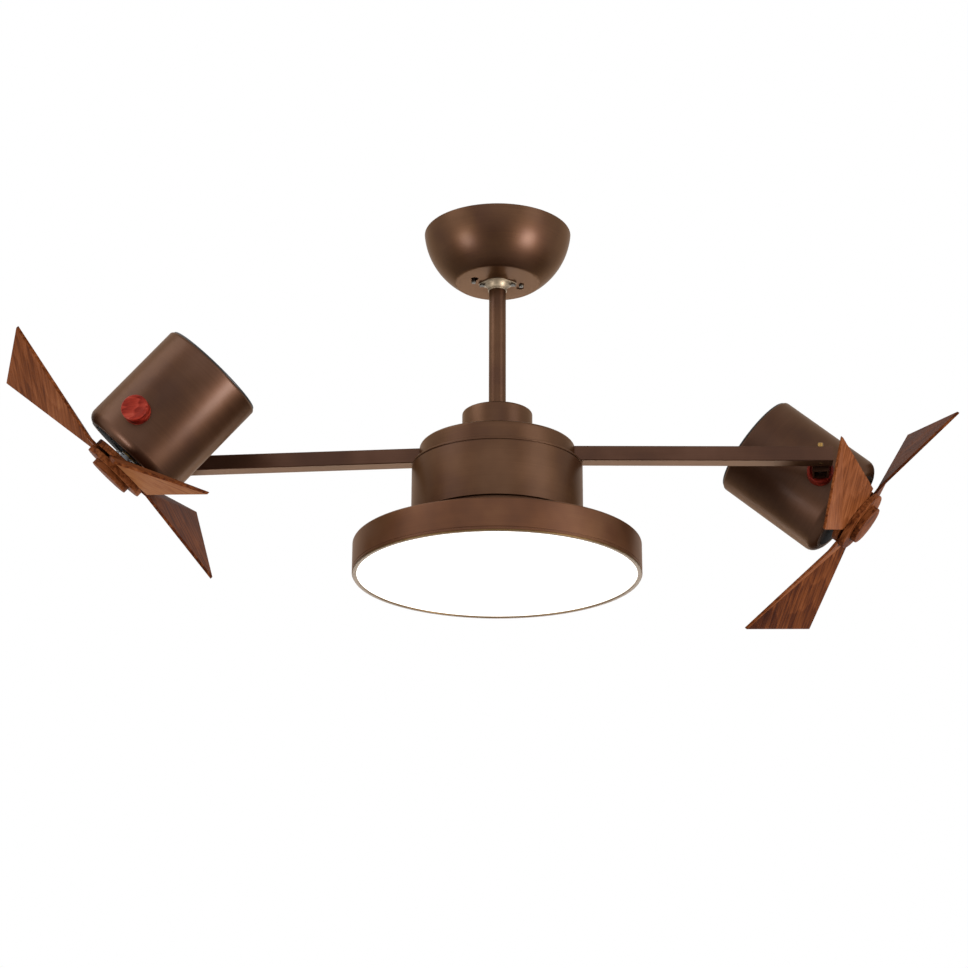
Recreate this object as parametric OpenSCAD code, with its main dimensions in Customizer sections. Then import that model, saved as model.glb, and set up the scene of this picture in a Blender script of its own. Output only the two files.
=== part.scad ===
// Ceiling fan with a round light and two adjustable fan heads on a turning cross arm.
// Millimetres, +Z up. The origin is the centre of the ceiling mounting face; the fan hangs below it.

/* [Ceiling end] */
// Canopy radius at the ceiling
canopy_r = 82; // [78:0.5:90]
// Canopy height from the ceiling to its flat bottom
canopy_h = 58.2; // [56:0.2:66]
// Sheet thickness of the canopy
canopy_wall = 1.5; // [1:0.1:2]
// Radius of the rounded bottom edge of the canopy
canopy_edge_r = 7; // [5:0.5:9]
// Radius of the round opening in the canopy bottom
canopy_hole_r = 14.5; // [13:0.1:15]
// Radius at which the two keyhole slots sit
keyhole_r = 27; // [25:0.5:29]
// Direction of the keyhole slots from the arm line
keyhole_turn = 13.5; // [0:0.5:30]
// Width of the narrow part of a keyhole slot
keyhole_w = 4.8; // [4.4:0.1:5.4]
// Length of the narrow part of a keyhole slot
keyhole_len = 7; // [6:0.5:8]
// Distance from a slot centre to the end of the ceiling bracket
bracket_end = 7.55; // [6:0.05:10]
// Width of the ceiling bracket
bracket_w = 32; // [30:0.5:36]
// Sheet thickness of the ceiling bracket
bracket_t = 2.5; // [2:0.1:3]
// Distance between the two ceiling slots
mount_spacing = 88.9; // [86:0.1:92]
// Width of a ceiling slot
mount_slot_w = 5.5; // [4.5:0.1:6]
// Overall length of a ceiling slot
mount_slot_len = 9; // [8:0.5:10]
// Clear height between the bracket floor and the canopy bottom
bracket_gap = 8.2; // [7.5:0.1:10]
// Radius of the hanging ball
ball_r = 16; // [15.5:0.1:17]

/* [Rod and neck] */
// Outer radius of the down rod
rod_r = 9.4; // [8.6:0.1:9.8]
// Wall of the down rod
rod_wall = 1.5; // [1.2:0.1:2.5]
// Wall of the nickel collar at its lower end
collar_wall = 1.2; // [1:0.1:1.6]
// How much wider the nickel collar is at its top
collar_flare = 1.4; // [0.8:0.1:2]
// Height of the nickel collar below its ears
collar_h = 8; // [6:0.5:12]
// Thickness of the eared plate of the collar
ear_t = 1.4; // [1.2:0.1:2.5]
// Distance of an ear screw from the collar wall
ear_reach = 5.4; // [5.3:0.1:6.8]
// Rounding radius of an ear
ear_r = 3.8; // [3.5:0.1:4.2]
// Height of the neck top below the ceiling
neck_drop = 214.8; // [200:0.2:240]
// Height of the neck cap
neck_h = 40.4; // [34:0.2:44]
// Radius of the neck cap
neck_r = 38.4; // [34:0.2:44]
// Rounding of the top edge of the neck cap
neck_edge_r = 2.5; // [1.5:0.1:4]

/* [Turning hub and arms] */
// Radius of the hub cover
cover_r = 84.6; // [80:0.2:90]
// Rounding of the top edge of the hub cover
cover_edge_r = 3; // [1:0.1:5]
// Sheet thickness of the hub cover
cover_wall = 1.4; // [1:0.1:1.5]
// Radius of the hub disc inside the cover
hub_r = 40; // [34:0.5:46]
// Depth of an arm tube
arm_h = 16.7; // [14:0.1:16.8]
// Width of an arm tube
arm_w = 18.4; // [17:0.1:20]
// Wall of an arm tube
arm_wall = 1.5; // [1.2:0.1:1.6]
// Distance of the arm end from the fan axis
arm_end_x = 362; // [355:1:372]
// Distance of the arm start from the fan axis
arm_start_x = 56; // [54:0.5:58]
// Downward slope of the arms
arm_droop = 1.1; // [0:0.05:3]
// Clear height between an arm and the rim of the housing
rim_gap = 3; // [0.5:0.05:4]

/* [Swivel and tilt] */
// Distance of the swivel screw from the arm end
swivel_inset = 12.6; // [12:0.1:15]
// Radius of the swivel screw
swivel_r = 2.5; // [2:0.1:3]
// Radius of the brass screw head
swivel_head_r = 3.6; // [3.4:0.1:5]
// Height of the brass screw head
swivel_head_h = 2.6; // [1.5:0.1:3.5]
// Width of the swivel bracket
stub_w = 17.5; // [16:0.1:19]
// Distance of the bracket end plate from the arm line
stub_end_y = 35.6; // [34:0.1:37]
// Depth of the bracket below the arm line
stub_drop = 12.4; // [12:0.1:14]
// Wall of the swivel bracket
stub_wall = 2; // [1.5:0.1:2.5]
// Distance between the bracket end plate and the drum
disc_gap = 12.1; // [11.5:0.1:15]
// Height of the tilt axis from the arm line
tilt_axis_z = -2; // [-3:0.1:-1.6]
// Radius of the tilt bolt
tilt_bolt_r = 3; // [2.5:0.1:3.5]
// Radius of the red tilt disc
tilt_disc_r = 14.5; // [13.5:0.1:15.5]
// Width of the rim round the dish of the tilt disc
tilt_rim_w = 3.3; // [2.5:0.1:4]
// Radius of the red outer knob
knob_r = 14; // [12.5:0.1:15]
// Height of the knob above the drum
knob_h = 13.5; // [10:0.5:18]
// Swivel angle of the left head
left_pan = -4.3; // [-15:0.1:15]
// Swivel angle of the right head
right_pan = -4; // [-15:0.1:15]
// Downward tilt of the left head
left_tilt = 45.9; // [-80:0.1:90]
// Downward tilt of the right head
right_tilt = 39; // [-80:0.1:90]

/* [Motor head] */
// Radius of the motor drum
drum_r = 60; // [54:0.1:65]
// Reach of the drum in front of the tilt axis
drum_front = 36.3; // [34:0.1:37]
// Reach of the drum behind the tilt axis
drum_rear = 90.9; // [88:0.1:96]
// Rounding of the front edge of the drum
drum_front_r = 4; // [2.5:0.1:5]
// Rounding of the rear edge of the drum
drum_rear_r = 3; // [1.8:0.1:3.5]
// Wall of the drum
drum_wall = 3.7; // [3:0.1:4.5]
// Width of the lip round the opening in the drum front
drum_lip = 8.2; // [7:0.1:10]
// Gap between that lip and the raised middle of the front plate
plate_gap = 3.5; // [1:0.1:8]
// How far the raised middle of the front plate stands out of the drum
plate_proud = 0.8; // [0.4:0.1:1.4]
// How far the black rear cap stands out of the drum
cap_proud = 1.8; // [1:0.1:3]
// Radius of the motor shaft
shaft_r = 5; // [4:0.1:6]
// Wall of a shaft bushing
bushing_wall = 4; // [2:0.1:6]
// Length of a shaft bushing
bushing_len = 10; // [8:0.5:10]

/* [Rotor] */
// Radius of the wooden back disc
back_disc_r = 34; // [30:0.5:36]
// Thickness of the wooden back disc
back_disc_t = 7.5; // [6:0.1:8]
// Radius of the wooden front disc
front_disc_r = 35.5; // [33:0.5:36.5]
// Thickness of the wooden front disc
front_disc_t = 6; // [5:0.1:7]
// Radius of the end cap
end_cap_r = 22.8; // [18:0.2:28]
// Thickness of the end cap
end_cap_t = 6.8; // [6:0.1:9]
// Thickness of a blade
blade_t = 4.2; // [3:0.1:4.2]
// Radius of the rear blade corner
rear_tip_r = 177.7; // [165:0.1:178]
// Set back of the rear blade corner towards the drum
rear_tip_back = 33.1; // [24:0.1:33.4]
// Radius of the front blade corner
front_tip_r = 176.1; // [165:0.1:178]
// Angle from the rear to the front blade corner
front_tip_turn = 29.3; // [26:0.1:34]
// Set forward of the front blade corner
front_tip_fore = 10.8; // [4:0.1:12]
// Radius at which the rear blade edge leaves the hub
rear_root_r = 49.6; // [48:0.1:52]
// Angle at which the rear blade edge leaves the hub
rear_root_turn = -28.9; // [-30:0.1:-24]
// Radius at which the front blade edge leaves the hub
front_root_r = 41.4; // [41:0.1:46]
// Angle at which the front blade edge leaves the hub
front_root_turn = 47.7; // [44:0.1:54]
// Rest angle of the left rotor
left_phase = 37.2; // [0:0.1:119.9]
// Rest angle of the right rotor
right_phase = 26.3; // [0:0.05:119.9]

/* [Housing and light] */
// Height of the main housing
housing_h = 89.6; // [82:0.2:110]
// Radius of the main housing
housing_r = 92.7; // [90:0.1:98]
// Sheet thickness of the main housing
housing_wall = 1.5; // [1.2:0.1:2]
// Overall height of the light
light_h = 36.4; // [30:0.2:42]
// Radius of the light
light_r = 155; // [145:0.5:165]
// Sheet thickness of the light pan
pan_wall = 1.2; // [1:0.1:1.5]
// Rounding of the top edge of the light
pan_edge_r = 1.6; // [1.6:0.1:3]
// Width of the bezel ring round the opal lens
bezel_w = 5; // [3.5:0.1:12]
// Thickness of the opal lens
lens_t = 2.6; // [2:0.1:3.5]
// Height of the bezel ring
bezel_h = 2; // [1.5:0.1:3]
// Radius of the centre spindle
spindle_r = 8; // [7:0.1:8.5]

/* [Hidden] */
$fn = 96;
eps = 0.5;
seat = 0.1;
run = 0.05;
bond = 0.02;
face = 0.3;
small_fn = 48;

pin_r = 2;
screw_r = 2;
bowl_r = 83.908;
bowl_z = 8.6076;
bowl_x = canopy_r - sqrt(bowl_r * bowl_r - bowl_z * bowl_z);
bowl_edge_z = -canopy_h + canopy_edge_r;
bowl_edge_x = bowl_x + sqrt(pow(bowl_r - canopy_edge_r, 2) - pow(bowl_z - bowl_edge_z, 2));
bowl_cut_z = bowl_z - bowl_r * (bowl_z - bowl_edge_z) / (bowl_r - canopy_edge_r);
bracket_len = mount_spacing + 2 * bracket_end;
strap_x = keyhole_r + 9;
floor_z = bracket_gap - canopy_h;
floor_top = floor_z + bracket_t;
ball_hole_r = ball_r - 3;
ball_z = floor_top + sqrt(ball_r * ball_r - ball_hole_r * ball_hole_r) + bond;
ball_top = ball_z + 5;
rod_top = ball_top + 6;
collar_low_r = rod_r + collar_wall;
collar_top_r = collar_low_r + collar_flare;
ear_x = collar_top_r + ear_reach;
ear_screw_r = 1.6;
neck_wall = 1.5;
cover_top = -neck_drop - neck_h;
neck_low = cover_top + 0.4;
coupling_r = rod_r + 6.6;
pin_len = 2 * coupling_r - 2;
coupling_top = -neck_drop - neck_wall;
coupling_gap = 3.2;
coupling_low = cover_top + coupling_gap;
spindle_grip = 10;
spindle_top = coupling_low + spindle_grip;
rod_low = spindle_top + 2;

arm_top_gap = 0.37;
hub_h = 16.3;
hub_top = cover_top - cover_wall;
hub_low = hub_top - hub_h;
hub_mid = cover_top - arm_top_gap - arm_h / 2;
rim_z = hub_mid - housing_r * tan(arm_droop) - arm_h / 2 / cos(arm_droop) - rim_gap;
bushing_flange_t = 1.5;
hub_bushing_r = spindle_r + 5;
hub_flange_r = spindle_r + 10;
flange_low = hub_low - bushing_flange_t;
collar_top = flange_low - seat;
collar_t = 3;
slip_r = spindle_r + 9;
slip_h = 22;
cover_low = rim_z + 0.5;
tongue_grip = 24;
tongue_end = arm_start_x + tongue_grip;
tongue_y = arm_w / 2 - arm_wall - seat;
tongue_z = arm_h / 2 - arm_wall - seat;
arm_corner_r = 1;
arm_screw_x = [arm_start_x + tongue_grip / 4, arm_start_x + tongue_grip * 3 / 4];
swivel_x = arm_end_x - swivel_inset;

tongue_top = arm_h / 2 - arm_wall - seat;
tongue_low = -2;
tongue_w = 12;
nose_r = arm_w / 2 - arm_wall - 0.5;
slot_x = swivel_inset + 0.4;
stub_start = arm_w / 2 + 3.4;
tilt_dish_r = tilt_disc_r - tilt_rim_w;
boss_r = tilt_dish_r - 2.2;
boss_y = stub_end_y + 1.5;
head_offset = stub_end_y + disc_gap + drum_r;
drum_in_r = drum_r - drum_wall;
mouth_r = drum_r - drum_lip;
plate_boss_r = mouth_r - plate_gap;
bushing_r = shaft_r + bushing_wall;
disc_face = head_offset - stub_end_y - face / 2;
dish_floor = head_offset - boss_y - seat;
bolt_head_r = 5;
bolt_head_h = 4;
knob_face_r = 11.4;
knob_dish = 1.3;
knob_dish_r = (knob_face_r * knob_face_r + knob_dish * knob_dish) / (2 * knob_dish);
knob_edge_r = 1.4;
bolt_boss_r = 7;
bolt_boss_y = drum_in_r - 4.5;

lip_back = drum_front - 4;
plate_t = 3;
plate_front = drum_front + plate_proud;
cap_seat = -drum_rear + 2;
cap_rear = -drum_rear - cap_proud;
cap_r = drum_r - 2.2;
cap_boss_r = 14;
cap_boss_front = -drum_rear + 16.5;
rear_bushing_z = cap_boss_front - bushing_len;
front_bushing_z = plate_front - 0.4 - bushing_len;
stator_z0 = -50;
stator_z1 = -11;
stator_r = drum_in_r - 8.5;
stator_band = 19;
stator_in_r = stator_r - stator_band;
magnet_r = stator_in_r - 0.6;
hub_flange_z = plate_front + 2;
back_disc_z = hub_flange_z + 2.6;
root_z = back_disc_z + back_disc_t;
root_mid = root_z + blade_t / 2;
front_disc_z = root_z + blade_t;
end_cap_z = front_disc_z + front_disc_t;
shaft_front = end_cap_z + 3;
shaft_flange_r = shaft_r + 9;
blade_root_in = shaft_r + 1.5;
blade_step = 120;

bottom_t = 1.5;
pan_top = rim_z - housing_h;
lens_r = light_r - bezel_w;
lens_low = pan_top - light_h + bezel_h;
light_low = pan_top - light_h;
nut_top = pan_top - pan_wall;
shoulder_low = pan_top + bottom_t;
shoulder_t = 4;
shoulder_r = spindle_r + 6;
bezel_flange_r = light_r - pan_wall - face;
bezel_flange_t = 1.2;
lens_seat_r = bezel_flange_r - bezel_flange_t - face;
board_inset = 17;
board_r = light_r - board_inset;
board_hole_gap = 14;
board_hole_r = spindle_r + board_hole_gap;
board_t = 1.6;
nut_r = spindle_r + 6;
nut_t = 6;
driver_l = 84;
driver_w = 36;
driver_h = 24;
driver_gap = 16;
driver_y = shoulder_r + driver_gap;

bronze = [0.30, 0.19, 0.14];
walnut = [0.50, 0.30, 0.18];
cherry = [0.60, 0.17, 0.12];
nickel = [0.76, 0.72, 0.66];
zinc = [0.66, 0.67, 0.68];
steel = [0.55, 0.56, 0.58];
brass = [0.80, 0.62, 0.30];
gilt = [0.62, 0.45, 0.28];
black = [0.06, 0.06, 0.06];
opal = [0.96, 0.96, 0.94];
copper = [0.72, 0.42, 0.25];

// Frames: arm, swivel bracket, head and rotor, side -1 is left and 1 is right
module arm_frame(side) {
  rotate([0, 0, side > 0 ? 0 : 180]) translate([0, 0, hub_mid]) rotate([0, arm_droop, 0]) children();
}

module bracket_frame(side) {
  arm_frame(side) translate([swivel_x, 0, 0]) rotate([0, 0, side > 0 ? right_pan : left_pan])
    children();
}

module head_frame(side) {
  bracket_frame(side) translate([0, head_offset, tilt_axis_z])
    rotate([0, 90 + (side > 0 ? right_tilt : left_tilt), 0]) children();
}

module rotor_frame(side) {
  head_frame(side) rotate([0, 0, side > 0 ? right_phase : left_phase]) children();
}

// Round bar or ring between two heights
module ring(r_out, r_in, z0, z1) {
  difference() {
    translate([0, 0, z0]) cylinder(r = r_out, h = z1 - z0);
    translate([0, 0, z0 - eps]) cylinder(r = r_in, h = z1 - z0 + 2 * eps);
  }
}

module rod(r, z0, z1) {
  translate([0, 0, z0]) cylinder(r = r, h = z1 - z0);
}

module box(x0, x1, y0, y1, z0, z1) {
  translate([x0, y0, z0]) cube([x1 - x0, y1 - y0, z1 - z0]);
}

// Bar along Y between two distances
module bar_y(r, y0, y1, z = 0) {
  translate([0, y0, z]) rotate([-90, 0, 0]) cylinder(r = r, h = y1 - y0);
}

// Half section of a disc from r = 0, with the outer top edge rounded
module round_top_2d(r, z0, z1, edge) {
  square_2d(0, r - edge, z0, z1);
  square_2d(0, r, z0, z1 - edge);
  translate([r - edge, z1 - edge]) circle(r = edge);
}

module square_2d(x0, x1, z0, z1) {
  translate([x0, z0]) square([x1 - x0, z1 - z0]);
}

// Half section of the canopy bowl, drawn smaller by one wall for the hollow
module bowl_2d(wall, top) {
  intersection() {
    translate([bowl_x, bowl_z]) circle(r = bowl_r - wall);
    square_2d(0, canopy_r, bowl_cut_z + wall * (bowl_z - bowl_edge_z) / (bowl_r - canopy_edge_r), top);
  }
  translate([bowl_edge_x, bowl_edge_z]) circle(r = canopy_edge_r - wall);
  square_2d(0, bowl_edge_x, -canopy_h + wall, bowl_edge_z);
}

// Two keyhole slots that drop over the canopy screws and lock by a short turn
module keyholes(z0, z1) {
  for (turn = [0, 180]) rotate([0, 0, keyhole_turn + turn]) translate([keyhole_r, 0, 0]) {
    box(-keyhole_w / 2, keyhole_w / 2, 0, keyhole_len, z0, z1);
    translate([0, 0, z0]) cylinder(r = keyhole_w / 2, h = z1 - z0, $fn = small_fn);
    translate([0, keyhole_len, z0]) cylinder(r = keyhole_w / 2 + 1.8, h = z1 - z0, $fn = small_fn);
  }
}

module at_keyholes() {
  for (turn = [0, 180]) rotate([0, 0, keyhole_turn + turn]) translate([keyhole_r, 0, 0]) children();
}

module slot(x, z0, z1) {
  half = (mount_slot_len - mount_slot_w) / 2;
  for (end = [-half, half]) translate([x + end, 0, z0])
    cylinder(r = mount_slot_w / 2, h = z1 - z0, $fn = small_fn);
  box(x - half, x + half, -mount_slot_w / 2, mount_slot_w / 2, z0, z1);
}

module ceiling_bracket() {
  color(zinc) difference() {
    union() {
      box(-bracket_len / 2, bracket_len / 2, -bracket_w / 2, bracket_w / 2, -bracket_t, 0);
      for (x = [-strap_x, strap_x - bracket_t])
        box(x, x + bracket_t, -bracket_w / 2, bracket_w / 2, floor_z, -bracket_t / 2);
      box(-strap_x, strap_x, -bracket_w / 2, bracket_w / 2, floor_z, floor_top);
    }
    slot(-mount_spacing / 2, -bracket_t - eps, eps);
    slot(mount_spacing / 2, -bracket_t - eps, eps);
    rod(ball_hole_r, floor_z - eps, floor_top + eps);
    at_keyholes() rod(screw_r + run, floor_z - eps, floor_top + eps);
  }
}

module canopy() {
  color(bronze) difference() {
    rotate_extrude() difference() {
      bowl_2d(0, 0);
      bowl_2d(canopy_wall, eps);
    }
    rod(canopy_hole_r, -canopy_h - eps, -canopy_h + canopy_wall + eps);
    keyholes(-canopy_h - eps, -canopy_h + canopy_wall + eps);
    for (x = [-ear_x, ear_x]) translate([x, 0, 0])
      rod(ear_screw_r + run, -canopy_h - eps, -canopy_h + canopy_wall + eps);
  }
}

module canopy_screws() {
  color(zinc) at_keyholes() {
    rod(screw_r, -canopy_h - 1, floor_top + 2);
    difference() {
      rod(3.9, -canopy_h - 2.2, -canopy_h);
      box(-4, 4, -0.5, 0.5, -canopy_h - 2.4, -canopy_h - 1.2);
    }
  }
}

module hanging_ball() {
  color(black) difference() {
    translate([0, 0, ball_z]) sphere(r = ball_r);
    box(-ball_r, ball_r, -ball_r, ball_r, ball_top, ball_z + ball_r + eps);
    rod(rod_r + run, ball_z - ball_r - eps, ball_top + eps);
  }
}

// Eared plate with exact tangent sides between the middle and the ears
module ear_plate_2d() {
  a = acos((collar_top_r - ear_r) / ear_x);
  circle(r = collar_top_r);
  for (s = [-1, 1]) {
    translate([s * ear_x, 0]) circle(r = ear_r);
    polygon([
      [0, 0],
      [s * collar_top_r * cos(a), collar_top_r * sin(a)],
      [s * (ear_x + ear_r * cos(a)), ear_r * sin(a)],
      [s * (ear_x + ear_r * cos(a)), -ear_r * sin(a)],
      [s * collar_top_r * cos(a), -collar_top_r * sin(a)]
    ]);
  }
}

module rod_collar() {
  z1 = -canopy_h;
  color(nickel) difference() {
    union() {
      translate([0, 0, z1 - ear_t]) linear_extrude(ear_t) ear_plate_2d();
      translate([0, 0, z1 - ear_t - collar_h])
        cylinder(r1 = collar_low_r, r2 = collar_top_r, h = collar_h + ear_t / 2);
    }
    rod(rod_r + run, z1 - ear_t - collar_h - eps, z1 + eps);
    for (x = [-ear_x, ear_x]) translate([x, 0, 0]) rod(ear_screw_r + run, z1 - ear_t - eps, z1 + eps);
  }
}

module collar_screws() {
  z1 = -canopy_h - ear_t;
  color(zinc) for (x = [-ear_x, ear_x]) translate([x, 0, 0]) {
    rod(ear_screw_r, z1 - 0.5, z1 + ear_t + canopy_wall + 3.7);
    difference() {
      rod(2.9, z1 - 1.8, z1);
      box(-3, 3, -0.4, 0.4, z1 - 2, z1 - 1);
      box(-0.4, 0.4, -3, 3, z1 - 2, z1 - 1);
    }
  }
}

module down_rod() {
  color(bronze) difference() {
    ring(rod_r, rod_r - rod_wall, rod_low, rod_top);
    bar_y(pin_r + run, -rod_r - eps, rod_r + eps, ball_top + pin_r + bond);
    bar_y(pin_r + run, -rod_r - eps, rod_r + eps, coupling_top - 10);
  }
}

module cross_pins() {
  color(steel) {
    bar_y(pin_r, -ball_r + 2, ball_r - 2, ball_top + pin_r + bond);
    bar_y(pin_r, -pin_len / 2, pin_len / 2, coupling_top - 10);
    bar_y(pin_r, -pin_len / 2, pin_len / 2, coupling_low + spindle_grip / 2);
  }
}

module neck_cap() {
  color(bronze) difference() {
    rotate_extrude() round_top_2d(neck_r, neck_low, -neck_drop, neck_edge_r);
    rod(neck_r - neck_wall, neck_low - eps, -neck_drop - neck_wall);
    rod(rod_r + run, -neck_drop - neck_wall - eps, -neck_drop + eps);
  }
}

module coupling() {
  color(steel) difference() {
    rod(coupling_r, coupling_low, coupling_top);
    rod(rod_r + run, rod_low, coupling_top + eps);
    rod(rod_r - 2 * rod_wall, spindle_top - eps, rod_low + eps);
    rod(spindle_r + run, coupling_low - eps, spindle_top);
    bar_y(pin_r + run, -coupling_r - eps, coupling_r + eps, coupling_top - 10);
    bar_y(pin_r + run, -coupling_r - eps, coupling_r + eps, coupling_low + spindle_grip / 2);
  }
}

module spindle() {
  color(steel) difference() {
    union() {
      rod(spindle_r, nut_top - nut_t - 1, spindle_top);
      rod(hub_flange_r, collar_top - collar_t, collar_top);
      rod(shoulder_r, shoulder_low, shoulder_low + shoulder_t);
    }
    rod(spindle_r - 2.5, nut_top - nut_t - 2, spindle_top + eps);
    bar_y(pin_r + run, -spindle_r - eps, spindle_r + eps, coupling_low + spindle_grip / 2);
  }
}

module slip_ring() {
  z1 = collar_top - collar_t;
  color(black) {
    ring(slip_r, spindle_r + run, z1 - 4 - slip_h, z1 - 4);
    ring(slip_r - 4, spindle_r + run, z1 - 4 - eps, z1);
  }
}

module hub_cover() {
  color(bronze) difference() {
    rotate_extrude() round_top_2d(cover_r, cover_low, cover_top, cover_edge_r);
    rod(cover_r - cover_wall, cover_low - eps, hub_top);
    rod(spindle_r + 2, hub_top - eps, cover_top + eps);
    for (side = [-1, 1]) arm_frame(side)
      box(cover_r - 8, cover_r + 6, -arm_w / 2 - seat, arm_w / 2 + seat, -arm_h, arm_h / 2 + seat);
  }
}

module arm_hub() {
  color(steel) difference() {
    union() {
      rod(hub_r, hub_low, hub_top);
      for (side = [-1, 1]) arm_frame(side)
        box(hub_r - 6, tongue_end, -tongue_y, tongue_y, -tongue_z, tongue_z);
    }
    rod(hub_bushing_r + bond, hub_low - eps, hub_top + eps);
    for (side = [-1, 1]) arm_frame(side) for (x = arm_screw_x) translate([x, 0, 0])
      rod(screw_r + run, -tongue_z - eps, 3);
  }
}

module hub_bushing() {
  color(brass) difference() {
    union() {
      rod(hub_bushing_r, hub_low - eps, hub_top - seat);
      rod(hub_flange_r, flange_low, hub_low);
    }
    rod(spindle_r + run, flange_low - eps, hub_top + eps);
  }
}

module arm_screws() {
  color(zinc) for (side = [-1, 1]) arm_frame(side) for (x = arm_screw_x) translate([x, 0, 0]) {
    rod(screw_r, -arm_h / 2 - 0.5, 2);
    rod(3.6, -arm_h / 2 - 1.8, -arm_h / 2);
  }
}

// Square tube with slightly rounded corners and a closed outer end
module arm(side) {
  color(bronze) arm_frame(side) difference() {
    union() {
      box(arm_start_x, arm_end_x, -arm_w / 2 + arm_corner_r, arm_w / 2 - arm_corner_r,
          -arm_h / 2, arm_h / 2);
      box(arm_start_x, arm_end_x, -arm_w / 2, arm_w / 2,
          -arm_h / 2 + arm_corner_r, arm_h / 2 - arm_corner_r);
      for (y = [-1, 1]) for (z = [-1, 1])
        translate([arm_start_x, y * (arm_w / 2 - arm_corner_r), z * (arm_h / 2 - arm_corner_r)])
          rotate([0, 90, 0]) cylinder(r = arm_corner_r, h = arm_end_x - arm_start_x, $fn = small_fn);
    }
    box(arm_start_x - eps, arm_end_x - arm_wall, -arm_w / 2 + arm_wall, arm_w / 2 - arm_wall,
        -arm_h / 2 + arm_wall, arm_h / 2 - arm_wall);
    translate([swivel_x, 0, 0]) rod(swivel_r + run, -arm_h, arm_h);
    box(swivel_x - slot_x, arm_end_x - arm_wall, arm_w / 2 - arm_wall - eps, arm_w / 2 + eps,
        tongue_low - seat, arm_h / 2 - arm_wall);
    for (x = arm_screw_x) translate([x, 0, 0]) rod(screw_r + run, -arm_h, 0);
  }
}

module swivel_screws() {
  color(brass) for (side = [-1, 1]) arm_frame(side) translate([swivel_x, 0, 0]) {
    rod(swivel_r, -arm_h / 2 + 0.2, arm_h / 2 + 0.5);
    rotate_extrude($fn = small_fn)
      round_top_2d(swivel_head_r, arm_h / 2, arm_h / 2 + swivel_head_h, swivel_head_h / 2);
  }
}

// Swivel bracket: round-nosed tongue inside the arm and a channel open below that carries the tilt axis
module head_bracket(side) {
  color(bronze) bracket_frame(side) difference() {
    union() {
      rod(nose_r, tongue_low, tongue_top);
      box(-tongue_w / 2, tongue_w / 2, 0, stub_start + stub_wall, tongue_low, tongue_top);
      difference() {
        box(-stub_w / 2, stub_w / 2, stub_start, stub_end_y, -stub_drop, tongue_top);
        box(-stub_w / 2 + stub_wall, stub_w / 2 - stub_wall, stub_start + stub_wall,
            stub_end_y - stub_wall - 0.6, -stub_drop - eps, tongue_top - stub_wall);
      }
      bar_y(boss_r, stub_end_y - 1, boss_y, tilt_axis_z);
    }
    rod(swivel_r + run, tongue_low - eps, tongue_top + eps);
    bar_y(tilt_bolt_r + run, stub_end_y - stub_wall - 2, boss_y + eps, tilt_axis_z);
  }
}

module tilt_bolt(side) {
  head_back = head_offset - stub_end_y + stub_wall + 0.6 + seat;
  color(zinc) head_frame(side) difference() {
    union() {
      bar_y(tilt_bolt_r, -head_back - eps, -bolt_boss_y);
      bar_y(bolt_head_r, -head_back - bolt_head_h, -head_back);
    }
    translate([0, -head_back - bolt_head_h - eps, 0]) rotate([-90, 0, 0])
      cylinder(r = 2.9, h = 2.5, $fn = 6);
  }
}

// Red disc between the bracket and the drum, hollowed to sit on the round drum wall
module tilt_disc(side) {
  color(cherry) head_frame(side) difference() {
    bar_y(tilt_disc_r, -disc_face, -drum_in_r);
    rod(drum_r + bond, -tilt_disc_r - eps, tilt_disc_r + eps);
    bar_y(tilt_dish_r, -disc_face - eps, -dish_floor);
    bar_y(tilt_bolt_r + run, -disc_face - eps, 0);
  }
}

module knob(side) {
  top = drum_r + knob_h;
  color(cherry) head_frame(side) difference() {
    rotate([-90, 0, 0]) rotate_extrude() round_top_2d(knob_r, drum_in_r, top, knob_edge_r);
    rod(drum_r + bond, -knob_r - eps, knob_r + eps);
    translate([0, top - knob_dish + knob_dish_r, 0]) sphere(r = knob_dish_r);
  }
}

module drum(side) {
  color(bronze) head_frame(side) difference() {
    union() {
      rotate_extrude() difference() {
        union() {
          round_top_2d(drum_r, 0, drum_front, drum_front_r);
          mirror([0, 1]) round_top_2d(drum_r, 0, drum_rear, drum_rear_r);
        }
        square_2d(0, drum_in_r, cap_seat, lip_back);
        square_2d(0, mouth_r, -drum_rear, drum_front + eps);
        square_2d(0, cap_r + seat, -drum_rear - eps, cap_seat);
      }
      bar_y(bolt_boss_r, -drum_in_r - 1, -bolt_boss_y);
    }
    bar_y(tilt_bolt_r + run, -drum_r - eps, -bolt_boss_y + eps);
  }
}

module front_plate(side) {
  color(zinc) head_frame(side) difference() {
    union() {
      rod(drum_in_r - seat, lip_back - seat - plate_t, lip_back - seat);
      rod(plate_boss_r, lip_back - seat, plate_front);
      rod(bushing_r + 3, front_bushing_z, lip_back);
    }
    rod(bushing_r + bond, front_bushing_z - eps, plate_front + eps);
  }
}

module rear_cap(side) {
  color(black) head_frame(side) difference() {
    union() {
      mirror([0, 0, 1]) rotate_extrude()
        round_top_2d(cap_r, -cap_seat + seat, -cap_rear, min(1.2, cap_proud));
      rod(cap_boss_r, cap_seat - seat - eps, cap_boss_front);
    }
    rod(bushing_r + bond, rear_bushing_z, cap_boss_front + eps);
  }
}

module stator(side) {
  color(copper) head_frame(side) {
    ring(drum_in_r - seat, stator_in_r + 7, stator_z0 + 8, stator_z1 - 8);
    ring(stator_r, stator_in_r, stator_z0, stator_z1);
  }
}

module bushings(side) {
  color(brass) head_frame(side) {
    ring(bushing_r, shaft_r + run, rear_bushing_z, rear_bushing_z + bushing_len);
    ring(bushing_r, shaft_r + run, front_bushing_z, front_bushing_z + bushing_len);
  }
}

module shaft(side) {
  color(steel) rotor_frame(side) {
    rod(shaft_r, rear_bushing_z + 1, shaft_front);
    rod(shaft_flange_r, hub_flange_z, back_disc_z);
  }
}

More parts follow.
